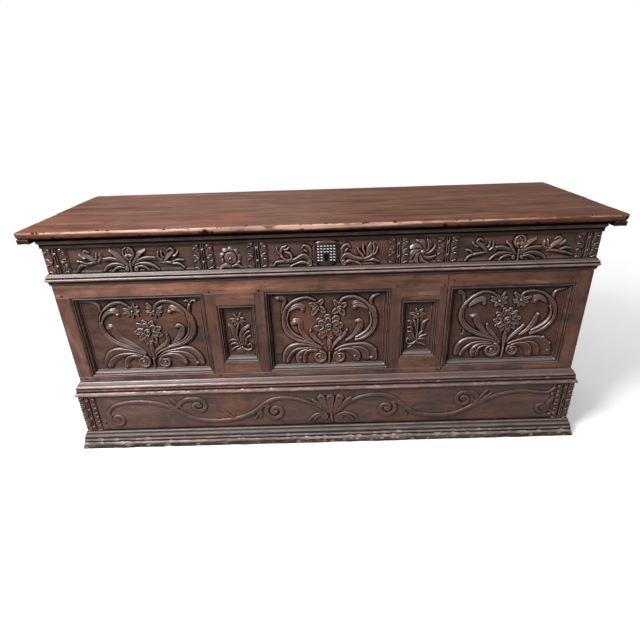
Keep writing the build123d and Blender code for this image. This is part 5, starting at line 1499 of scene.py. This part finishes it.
def block_relief(low_x, width, low_z, high_z, depth, seed, repeat=35.0):
    """A block with two strips of small overlapping leaves beside a beaded fillet."""
    relief = Relief(low_x + 0.15, low_x + width - 0.15, low_z + 0.1, high_z - 0.1, 1.2, seed)
    rng = np.random.default_rng(seed)
    relief.h += depth - 5.0
    middle = low_x + width / 2
    strip = width * 0.34
    for side in (-1, 1):
        axis = middle + side * width * 0.315
        start = high_z + 16
        while start > low_z - 5:
            tip = start - repeat
            bend = 1.5 * (rng.random() - 0.5)
            leaf = [
                (axis - side * 2, start), (axis + bend * 0.3, start - 0.5 * repeat),
                (axis + bend + side * 2.5, tip + 3),
            ]
            relief.stroke(
                leaf, [strip * share for share in (0.25, 0.52, 0.50, 0.42)],
                [depth - 3.4, depth - 2.4, depth - 0.8, depth],
                "scoop" if side < 0 else "scoop_r", 0.5, 0.5,
            )
            hook = ((-1.0, 1.0), (-0.2, 4.5), (0.9, 5.5), (1.2, 2.5))
            points = [(axis + bend + side * 6 * across, tip + up) for across, up in hook]
            relief.stroke(points, [1.8, 2.9, 3.2, 1.8], depth + 0.8, "round", 0.6, 0.8)
            curl = ((-0.9, 0.0), (-0.1, 3.0), (0.8, 4.0), (1.1, 1.0))
            points = [(axis + side * 6 * across, tip + 0.5 * repeat + up) for across, up in curl]
            relief.stroke(points, [1.5, 2.3, 2.5, 1.5], depth + 0.4, "round", 0.6, 0.7)
            start -= repeat
    for off in (-3.0, 3.0):
        fillet = [(middle + off, low_z - 4), (middle + off, high_z + 4)]
        relief.stroke(fillet, 1.7, depth - 0.8, "round", 0.8, 0.6)
    bead = high_z - 18
    while bead > low_z + 3:
        relief.dome(middle, bead, 4.6, depth + 0.4)
        bead -= repeat
    relief.finish(0.5, 0.15, 0.14, 0.0)
    relief.h = np.clip(relief.h, 0.8, depth + 0.6)
    return relief


def carved_blocks(node, reliefs, ground_y, material):
    """A piece that is several carved blocks, planted on their board's ground."""
    blocks = Pile()
    for relief in reliefs:
        blocks.add(*slab_mesh(relief, ground_y, ground_y))
    blocks.piece(f"{node}_carved", "case", [node], material, "carved_walnut")


carved_blocks("frieze_blocks", [
    block_relief(low_x, width, FRIEZE_LOW, FRIEZE_HIGH, 7.0, 40 + number)
    for number, (low_x, width) in enumerate(FRIEZE_BLOCKS)
], FRIEZE_GROUND_Y, wood("frieze", "z", 0.5, 0.9))

# ---------------------------------------------------------------- base
PLINTH_TOP = 57
BASE_BLOCK_WIDTH = 52
BASE_BLOCKS = (-BASE_HALF, BASE_HALF - BASE_BLOCK_WIDTH)
base = Relief(-BASE_HALF, BASE_HALF, PLINTH_TOP - 1, BASE_TOP, 1.6, 51)
# The two long stems, the scrolls that branch off them, then the leaves.
for points in (
    [
        (-684, 101), (-681, 128), (-655, 152), (-600, 162), (-540, 157), (-489, 140), (-450, 113),
        (-411, 91), (-350, 82), (-295, 86), (-250, 99), (-216, 119), (-189, 143), (-160, 158),
        (-128, 162), (-92, 157), (-55, 143), (-24, 127),
    ],
    [
        (27, 105), (58, 127), (94, 152), (138, 164), (175, 164), (206, 153), (233, 130), (260, 105),
        (293, 87), (348, 80), (401, 84), (443, 103), (485, 129), (527, 148), (575, 160), (622, 162),
        (662, 156), (690, 156), (708, 171),
    ],
):
    base.stroke(points, [4.5, 6.5, 7.6, 7.6, 7.6, 7.6, 6.5, 4.5], 4.8, "band", 0.5, 0.5)
for lead, angle, turns, x, z, radius in (
    ([(-687, 122)], 175, 1.35, -658, 97, 22),
    ([(-474, 126), (-458, 148), (-434, 164)], 110, -1.3, -398, 140, 27),
    ([(-196, 136)], 135, 1.3, -158, 111, 31),
    ([(222, 140)], 45, -1.3, 190, 112, 30),
    ([(476, 122), (472, 146), (456, 162)], 60, 1.3, 430, 138, 27),
    ([(704, 150), (708, 132)], 30, -1.3, 678, 99, 21),
):
    points = lead + spiral(x, z, radius, radius * 0.26, angle, turns, 18)
    section = "band" if turns < 0 else "band_r"
    base.stroke(points, [5.0, 7.4, 7.4, 6.6, 5.0], 4.6, section, 0.5, 0.5)
    base.dome(x, z, radius * 0.26, 4.9)
for width, section, points in (
    (4.0, "leaf", [(-450, 132), (-462, 150), (-478, 168)]),
    (3.6, "leaf", [(-458, 124), (-476, 140), (-492, 160)]),
    (3.4, "leaf", [(-292, 92), (-306, 104), (-322, 120)]),
    (3.0, "leaf", [(-288, 92), (-292, 106), (-300, 114)]),
    (4.2, "leaf", [(-208, 118), (-214, 100), (-226, 84)]),
    (3.8, "leaf", [(-204, 116), (-204, 100), (-210, 86)]),
    (3.8, "leaf", [(240, 112), (248, 98), (256, 84)]),
    (5.0, "leaf", [(462, 118), (482, 144), (500, 168)]),
    (4.4, "leaf", [(470, 120), (496, 140), (516, 160)]),
    (3.0, "round", [(-700, 92), (-702, 80), (-694, 74)]),
    (4.0, "round", [(700, 92), (712, 80), (704, 72)]),
    # the palmette: curled leaves at its foot, broad ones beside it
    (5.0, "lean_r", [(-6, 97), (-24, 98), (-42, 88), (-54, 74)]),
    (4.4, "lean_r", [(-10, 92), (-24, 90), (-34, 80), (-40, 70)]),
    (5.0, "lean", [(44, 97), (64, 99), (84, 93), (99, 80)]),
    (4.4, "lean", [(50, 92), (66, 90), (78, 82), (86, 72)]),
    (7.6, "ribs", [(8, 102), (-8, 118), (-24, 136), (-40, 152)]),
    (6.0, "ribs", [(2, 100), (-18, 110), (-38, 124), (-52, 134)]),
    (8.4, "ribs", [(28, 102), (44, 118), (60, 136), (78, 155)]),
):
    widths = [width * share for share in (0.6, 1.0, 1.0, 1.0, 0.6)]
    base.stroke(points, widths, [4.2, 5.2, 5.0], section)
for x, z, angle, turn in ((-5, 86, 60, -1.2), (45, 86, 120, 1.2)):
    base.volute(x, z, 13, 5.0, angle, turn, 3.8)
for foot, top in ((12, -13), (22, 45), (17, 15)):
    points = [
        (foot, 100), (foot * 0.6 + top * 0.4, 122), (foot * 0.2 + top * 0.8, 144), (top, 160),
    ]
    base.stroke(points, [4.0, 6.0, 9.0, 11.5, 12.0], [4.8, 5.4, 5.6], "leaf", 0.3, 0.6)
    rim = ((-11, 156), (-7, 163), (0, 165), (7, 163), (11, 156))
    points = [(top + across, z) for across, z in rim]
    base.stroke(points, [2.6, 3.6, 3.8, 3.6, 2.6], 5.8, "round", 0.5, 0.5)
base.dome(17, 110, 8.0, 5.8)
base.stroke([(20, 68), (18, 84), (17, 102)], [4.5, 4.5, 3.6], 5.2)
base.finish(0.8, 0.3, 0.12, 0.5)
for low_x in BASE_BLOCKS:
    under = (base.x > low_x - 0.5) & (base.x < low_x + BASE_BLOCK_WIDTH + 0.5)
    base.h = np.where(under, -0.3, base.h)
base.h = np.clip(base.h, -1.4, 5.8)
base.h = np.where(base.z < PLINTH_TOP, BASE_GROUND_Y - BASE_FRONT_Y, base.h)
base.zs[-1] = BASE_TOP - 0.6
stretch_rows(base, 0.0, BASE_TOP)
# Painted shade: the base board darkens towards its right end.
base_wood = wood("vine", "x", 0.9, 1.0, 0.86)
slab("base_front_board", base, BASE_GROUND_Y, BASE_BACK_Y, "case", base_wood)

carved_blocks("base_blocks", [
    block_relief(low_x, BASE_BLOCK_WIDTH, PLINTH_TOP, BASE_TOP, 6.0, 60 + number, 33.0)
    for number, low_x in enumerate(BASE_BLOCKS)
], BASE_GROUND_Y, wood("vine", "z", 0.5))

# ---------------------------------------------------------------- run mouldings
# Sections from the foot upwards: how far out from the face behind them, and how high.
# Painted shade: the top moulding, under the lid, is a darker copy of the run wood.
run_moulding(
    "top_moulding",
    [(0, 0), (1.0, 0), (1.1, 4.0), (1.6, 8.0), (2.2, 10.8), (3.6, 12.2), (5.0, 13.0), (6.3, 14.4),
     (6.5, 16.0), (6.5, 19.4), (5.7, 21.2), (2.2, 22.0), (1.5, 24.0), (1.4, 32), (0, 32)],
    CASE_HALF, FRONT_Y, LID_LOW - 32, 0.7, 71, wood("run", "x", 0.5, 0.7), (26, 2.0, 6),
)
run_moulding(
    "waist_moulding",
    [(0, 0), (2.4, 0), (2.6, 2.0), (3.0, 5.0), (3.8, 8.0), (5.4, 10.4), (8.4, 12.2), (10.4, 13.0),
     (11.0, 14.4), (11.0, 16.2), (10.2, 18.0), (8.8, 19.2), (7.2, 19.6), (6.2, 20.2), (6.2, 22.2),
     (7.4, 22.8), (7.5, 25.0), (6.8, 25.8), (4.2, 26.4), (3.2, 27.4), (2.8, 29.4), (2.4, 31.4),
     (0, 32)],
    CASE_HALF, FRONT_Y, WAIST_LOW, 0.8, 72, run_x, (30, 2.4, 6),
)
# Painted shade: the lower moulding darkens towards its right end.
run_moulding(
    "lower_moulding",
    [(0, 0), (17.0, 0), (19.6, 1.6), (20.5, 4.0), (20.3, 6.6), (19.0, 9.2), (17.0, 11.6),
     (15.0, 13.6), (14.2, 15.2), (14.3, 17.6), (14.3, 20.0), (13.9, 22.0), (12.4, 22.8),
     (12.1, 24.6), (12.8, 25.6), (12.9, 27.8), (12.3, 30.2), (10.4, 31.8), (8.6, 33.4),
     (7.9, 35.4), (7.2, 37.4), (5.8, 38.6), (4.4, 40.4), (3.6, 42.6), (0, 45)],
    CASE_HALF, FRONT_Y, BASE_TOP, 1.3, 73, wood("sill", "x", 0.2, 0.95, 0.72), (110, 2.6, 6),
)
run_moulding(
    "plinth_moulding",
    [(0, 0), (18, 0), (18, 18.2), (17.2, 21.0), (16.2, 22.8), (12.8, 24.4), (12.4, 28.0),
     (12.0, 31.8), (9.0, 34.6), (8.4, 38.0), (8.0, 43.4), (4.4, 47.6), (3.4, 50.0), (2.4, 56.4),
     (0, PLINTH_TOP)],
    BASE_HALF, BASE_FRONT_Y, 0, 2.0, 74, wood("plinth", "x", 0.4), (120, 5.0, 10),
)

# ---------------------------------------------------------------- frame members
# Grid spacings of members that lie along x and that stand.
LONG = (8.0, 9.0, 9.0)
TALL = (9.0, 9.0, 8.0)
DOOR_LOW, DOOR_HIGH = 236.5, 549.5
DOOR_LEFT, DOOR_RIGHT = 358, 710


def member(node, low_x, high_x, low_z, high_z, body, material, **shape):
    """A board of the framed front, as thick as the frame."""
    low, high = (low_x, FRONT_Y, low_z), (high_x, FRAME_BACK_Y, high_z)
    board(f"{node}_worn", low, high, body, node, material, **shape)


# Bites along the door's ragged gap, on the case's side of it.
rng = np.random.default_rng(3)
door_bites = random_chips(
    rng, 26, (350.5, FRONT_Y, 240), (353, FRONT_Y + 1, 505), (0.8, 3.6), (2.5, 8.0)
)
door_bites += random_chips(
    rng, 20, (356, FRONT_Y, 234), (745, FRONT_Y + 1, 237), (0.6, 2.6), (2.5, 7.0)
)
# Painted shade: the top rail, a lighter copy of the frame wood, darkens towards its right end.
member("top_rail", -CASE_HALF, 351, FIELD_HIGH, WAIST_LOW, "case",
       wood("frame", "x", 0.3, 1.85, 0.6), spacing=LONG, seed=81)
member("left_stile", -CASE_HALF, -710, FIELD_LOW, FIELD_HIGH, "case", frame_z,
       spacing=TALL, seed=82)
# Painted shade: the posts are darker copies of the frame wood.
for number, (low_x, high_x, level) in enumerate(
    ((-333, -302, 0.9), (-191, -165, 0.8), (194, 223, 0.8), (331, 351, 0.85)), 1
):
    beside_door = number == 4
    member(
        f"post_{number}", low_x, high_x, FIELD_LOW, FIELD_HIGH, "case",
        wood("frame", "z", 0.7, level), spacing=(4, 9, 4) if beside_door else TALL,
        seed=82 + number, chips=door_bites if beside_door else (),
    )
# Painted shade: the bottom rail darkens towards its right end.
boards("bottom_rail_worn", [
    ((-CASE_HALF, FRONT_Y, BASE_TOP), (351, FRAME_BACK_Y, FIELD_LOW), 88),
    ((351.02, FRONT_Y, BASE_TOP), (CASE_HALF, FRAME_BACK_Y, 235), 88),
], "case", "bottom_rail", wood("run", "x", 0.3, 2.1, 0.8), spacing=(6, 9, 7), chips=door_bites)
boards("short_rails_worn", [
    ((low_x, FRONT_Y, low_z), (high_x, FRAME_BACK_Y, high_z), seed)
    for low_x, high_x, seed in ((-302, -191, 90), (223, 331, 91))
    for low_z, high_z in ((FIELD_LOW, SMALL_LOW), (SMALL_HIGH, FIELD_HIGH))
], "case", "short_rails", frame_x, spacing=LONG)


def hinge_stile_edge(p):
    """The door's hinge edge is round at the back, so that it clears the case as it turns."""
    return np.where((p[:, 0] > 735) & (p[:, 1] > -216), 11.0, 1.0)


member("door_hinge_stile", DOOR_RIGHT, CASE_HALF, DOOR_LOW, DOOR_HIGH, "door", frame_z,
       spacing=TALL, seed=95, edge_at=hinge_stile_edge)
member("door_top_rail", DOOR_LEFT, DOOR_RIGHT, FIELD_HIGH, DOOR_HIGH, "door", frame_x,
       spacing=LONG, seed=96)
member("door_bottom_rail", DOOR_LEFT, DOOR_RIGHT, DOOR_LOW, FIELD_LOW, "door", frame_x,
       spacing=LONG, seed=97)
boards("door_closing_stile_worn", [
    ((352.5, FRONT_Y, DOOR_LOW), (DOOR_LEFT - 0.02, FRAME_BACK_Y, DOOR_HIGH), 98),
    ((DOOR_LEFT, PANEL_GROUND_Y, DOOR_LOW), (377, FRAME_BACK_Y, DOOR_HIGH), 98),
], "door", "door_closing_stile", frame_z, edge=0.7, spacing=TALL)

# ---------------------------------------------------------------- lid
LID_BACK_Y = 250.25
JOINT_FRONT_Y, JOINT_BACK_Y = -39.15, -38.85
LEFT_END, RIGHT_END = -LID_HALF, LID_HALF


def bite(x, y, z, depth, size):
    """A single bite, in the form that random_chips gives."""
    return np.array([x, y, z], float), depth, size


rng = np.random.default_rng(7)
front_bites = random_chips(
    rng, 120, (LEFT_END, LID_FRONT_Y, 704), (RIGHT_END, -250, 708), (0.7, 3.8), (1.4, 4.4)
)
front_bites += random_chips(
    rng, 34, (LEFT_END, LID_FRONT_Y, LID_LOW), (RIGHT_END, -251, 691), (1.0, 5.0), (3.0, 11.0)
)
front_bites += random_chips(
    rng, 8, (LEFT_END, -254, 690), (-788, -60, LID_HIGH), (1.0, 4.0), (4.0, 9.0)
)
front_bites += [
    bite(RIGHT_END, -254, 690, 7.0, 10.0), bite(LEFT_END, -252, 690, 6.0, 9.0),
    bite(LEFT_END, -39, 705, 8.0, 8.0),
]


def front_edge(p):
    """Round edges, but nearly sharp ones along the joint between the lid's two boards."""
    near_joint = smoothstep(-70, -42, p[:, 1]) * (abs(p[:, 0]) < 780)
    return 5.6 * (1 - near_joint) + 0.8 * near_joint


def rear_edge(p):
    near_joint = 1 - smoothstep(-36, -10, p[:, 1])
    return 3.4 * (1 - near_joint) + 0.8 * near_joint


def front_wear_and_highlight(p):
    """Bright wear and a painted highlight along the upper front edge, widest and brightest left of
    the lid's middle.
    """
    middle = np.exp(-(((p[:, 0] + 90) / 380) ** 2))
    back = (p[:, 1] + 253.9) / (3.0 + 1.4 * middle)
    down = (p[:, 2] - 702.8 + 2.6 * middle) / (2.8 + 3.6 * middle)
    patches = smoothstep(-0.85, 0.10, rough(p, (34, 8, 8), 401, 4))
    return np.exp(-(back ** 2) - down ** 2) * patches * (0.55 + 0.65 * middle)


# Painted shade: both lid boards darken towards their right end.
board(
    "lid_front_board_worn", (LEFT_END, LID_FRONT_Y, LID_LOW), (RIGHT_END, JOINT_FRONT_Y, LID_HIGH),
    "lid", "lid_front_board", wood("lid", "x", 0.1, 1.0, 0.92), "lid_walnut",
    spacing=(3.4, 11, 3.2), seed=101, chips=front_bites, edge_at=front_edge, warp=0.5,
    rubbed=front_wear_and_highlight, edge_wear=0.2,
)
rear_bites = random_chips(
    rng, 10, (LEFT_END, -38, 690), (-788, 250, LID_HIGH), (1.0, 4.0), (4.0, 9.0)
)
rear_bites += random_chips(
    rng, 10, (788, -38, 690), (RIGHT_END, 250, LID_HIGH), (1.0, 4.0), (4.0, 9.0)
)
rear_bites += [bite(LEFT_END, -38, 702, 9.0, 9.0), bite(LEFT_END, 250, 700, 7.0, 10.0)]
# Painted shade: this board too darkens towards its right end.
board(
    "lid_rear_board_worn", (LEFT_END, JOINT_BACK_Y, LID_LOW), (RIGHT_END, LID_BACK_Y, LID_HIGH),
    "lid", "lid_rear_board", wood("lid", "x", 0.6, 1.0, 0.92), "lid_walnut",
    spacing=(6, 12, 6), seed=102, chips=rear_bites, edge_at=rear_edge, warp=0.5, edge_wear=0.2,
)
BATTEN_WIDTH, BATTEN_LOW = 33, 674
BATTENS = (-793, 760)
# Painted shade: the battens under the lid are a much darker copy of the lid's wood.
boards("lid_battens_worn", [
    ((low_x, -251.15, BATTEN_LOW), (low_x + BATTEN_WIDTH, 242.25, LID_LOW), 104 + number)
    for number, low_x in enumerate(BATTENS)
], "lid", "lid_battens", wood("lid", "y", 0.3, 0.32), "lid_walnut", edge=2.2, spacing=(7, 7, 6),
    warp=0.3, chips=[bite(low_x + 16, -251, 676, 6.0, 10.0) for low_x in BATTENS])

# ---------------------------------------------------------------- case and base boards
side_wood = wood("frame", "y", 0.5)
inner_x, inner_z = wood("inner", "x", 0.1), wood("inner", "z", 0.8)
for number, (node, low_x, low_y, low_z, high_x, high_y, high_z) in enumerate((
    ("left_side_board", -CASE_HALF, FRAME_BACK_Y, BASE_TOP, -726, PLANKS_Y, LID_LOW),
    ("right_side_board", 726, FRAME_BACK_Y, BASE_TOP, CASE_HALF, PLANKS_Y, LID_LOW),
    ("base_left_board", -BASE_HALF, BASE_BACK_Y, 0, -736, BACK_Y, BASE_TOP),
    ("base_right_board", 736, BASE_BACK_Y, 0, BASE_HALF, BACK_Y, BASE_TOP),
)):
    board(f"{node[:-6]}_worn", (low_x, low_y, low_z), (high_x, high_y, high_z), "case", node,
          side_wood, spacing=12, seed=111 + number)
board("base_back_worn", (-736, PLANKS_Y, 0), (736, BACK_Y, BASE_TOP), "case", "base_back_board",
      inner_x, "inner_wood", spacing=14, seed=115)
boards("back_planks_worn", [
    ((-CASE_HALF, PLANKS_Y, low_z), (CASE_HALF, BACK_Y, high_z), 116 + number)
    for number, (low_z, high_z) in enumerate(((BASE_TOP, 429.9), (430.1, LID_LOW)))
], "case", "back_planks", inner_x, "inner_wood", edge=2.4, spacing=14.0, warp=0.5)
for node, grain in (
    ("bottom_board", inner_x), ("cupboard_partition", inner_z), ("cupboard_shelf", inner_x),
    ("cupboard_top", inner_x),
):
    low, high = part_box(node)
    board(f"{node}_worn", [v / MM for v in low], [v / MM for v in high], "case", node, grain,
          "inner_wood", spacing=16, seed=120 + len(node))

# ---------------------------------------------------------------- ironwork and pegs


def shield_at(x, z):
    """Below 1 inside the lock plate's rounded outline."""
    return (abs(x - LOCK_X) / 32.5) ** 3 + (abs(z - LOCK_Z) / 27.6) ** 3


plate = Relief(LOCK_X - 33, LOCK_X + 33, LOCK_Z - 28, LOCK_Z + 28, 0.8, 130)
plate.h += 1.0
outside = shield_at(plate.x, plate.z)
plate.h = np.where(outside > 0.84, 1.4, plate.h)
# Six by six short bars, apart from those in the keyhole's way.
for row in range(6):
    for column in range(6):
        x, z = LOCK_X - 21.5 + 8.6 * column, 600.6 + 7.9 * row
        if shield_at(x, z) < 0.74 and not (abs(x - LOCK_X) < 9 and z < LOCK_Z):
            plate.stroke([(x - 1.5, z + 0.4), (x + 1.5, z - 0.4)], 2.3, 2.3, "round", 1.0, 0.0)
plate.h = blurred(plate.h, 0.6)
HOLE_Z = LOCK_Z - 8
hole = (np.hypot(plate.x - LOCK_X, plate.z - HOLE_Z) < 6.0) | (
    (abs(plate.x - LOCK_X) < 3.8) & (plate.z < HOLE_Z) & (plate.z > HOLE_Z - 16)
)
plate.h = np.where(hole, -0.7, plate.h)
plate.h = np.where(outside > 1.0, -1.1, plate.h)
vertices, faces, hollow_shade, _ = slab_mesh(plate, FRONT_Y, FRONT_Y + 1.3)
# Painted shade: the keyhole is painted black and the plate's hollows darkened. Painted glint: the
# tops of the raised bars take the bright worn tone.
dark, stud_glints = np.zeros(len(vertices)), np.zeros(len(vertices))
dark[:hole.size] = hole.ravel()
stud_glints[:hole.size] = np.clip((plate.h - 1.55) / 0.5, 0, 1).ravel()
make_piece("lock_plate_worn", vertices, faces, "case", ["lock_plate"], plate_iron,
           {"painted_cavity_shade": np.maximum(hollow_shade * 0.6, dark), "wear": stud_glints})

# The pieces that keep the solids' own shape.
for name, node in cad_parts.items():
    if node.hide_render:
        continue
    if name in ("frame_pegs", "door_pegs"):
        finish = wood("run", "y", 0.2, 0.6)
    elif name.startswith("hinge") or name == "door_pivots":
        finish = hinge_iron
    else:
        finish = lock_iron
    node.data.materials.clear()
    node.data.materials.append(finish)


# ---------------------------------------------------------------- stage, light and camera
def lamp(name, place, target, width, height, power):
    data = bpy.data.lights.new(name, "AREA")
    data.shape, data.size, data.size_y, data.energy = "RECTANGLE", width, height, power
    made = bpy.data.objects.new(name, data)
    made.location = place
    made.rotation_euler = (Vector(target) - Vector(place)).to_track_quat("-Z", "Y").to_euler()
    bpy.context.scene.collection.objects.link(made)


lamp("key", (-1.6, -1.6, 2.4), (0, -0.1, 0.4), 0.8, 0.8, 138)
lamp("sky", (0.0, -1.1, 3.3), (0, -0.1, 0.4), 2.4, 1.0, 38)
lamp("rear", (-0.8, 2.7, 2.6), (0, 0.2, 0.3), 2.2, 2.2, 56)

floor_mesh = bpy.data.meshes.new("floor")
floor_mesh.from_pydata([(-30, -30, 0), (30, -30, 0), (30, 30, 0), (-30, 30, 0)], [], [(0, 1, 2, 3)])
floor = bpy.data.objects.new("floor", floor_mesh)
bpy.context.scene.collection.objects.link(floor)
WHITE = (1, 1, 1, 1)

# The floor keeps the chest's shadow near by and turns white further off. Other light meets a dull
# floor, so that the pale background doesn't light the chest.
n = Nodes(bpy.data.materials.new("floor_pale"))
away = n.node("ShaderNodeVectorMath", operation="LENGTH")
n.put(away.inputs[0], n.node("ShaderNodeTexCoord").outputs["Object"])
near_floor = n.node("ShaderNodeAddShader")
n.put(near_floor.inputs[0], n.diffuse((0.8, 0.8, 0.8, 1)))
n.put(near_floor.inputs[1], n.emitting("ShaderNodeEmission", WHITE, 0.30))
far_floor = n.emitting("ShaderNodeEmission", WHITE, 1.0)
shown = n.mix_shader(n.span(away.outputs["Value"], 1.0, 2.6), near_floor.outputs[0], far_floor)
dull_floor = n.diffuse((0.14, 0.135, 0.13, 1))
floor_mesh.materials.append(
    n.end("ShaderNodeOutputMaterial", n.mix_shader(n.seen(), dull_floor, shown))
)

n = Nodes(bpy.data.worlds.new("studio"))
soft = n.emitting("ShaderNodeBackground", (0.94, 0.96, 1.0, 1), 0.10)
white = n.emitting("ShaderNodeBackground", WHITE, 1.0)
bpy.context.scene.world = n.end("ShaderNodeOutputWorld", n.mix_shader(n.seen(), soft, white))

# The camera as solved from the photo: its focal length in pixels, its place and its angles.
PICTURE_WIDTH, FOCAL_LENGTH = 640, 458.9
camera_data = bpy.data.cameras.new("camera")
camera_data.sensor_width = 36.0
camera_data.lens = FOCAL_LENGTH / PICTURE_WIDTH * camera_data.sensor_width
camera_data.clip_start, camera_data.clip_end = 0.05, 100
camera = bpy.data.objects.new("camera", camera_data)
bpy.context.scene.collection.objects.link(camera)
yaw, pitch, roll = -0.0076, 0.4477, -0.0332
ahead = Vector((math.sin(yaw) * math.cos(pitch), math.cos(yaw) * math.cos(pitch), -math.sin(pitch)))
level = Vector((math.cos(yaw), -math.sin(yaw), 0))
upward = level.cross(ahead)
right = math.cos(roll) * level + math.sin(roll) * upward
above = math.cos(roll) * upward - math.sin(roll) * level
turned = Matrix((right, above, -ahead)).transposed().to_4x4()
camera.matrix_world = Matrix.Translation((0, -1.42005, 0.993)) @ turned
bpy.context.scene.camera = camera
bpy.context.scene.view_settings.view_transform = "Standard"
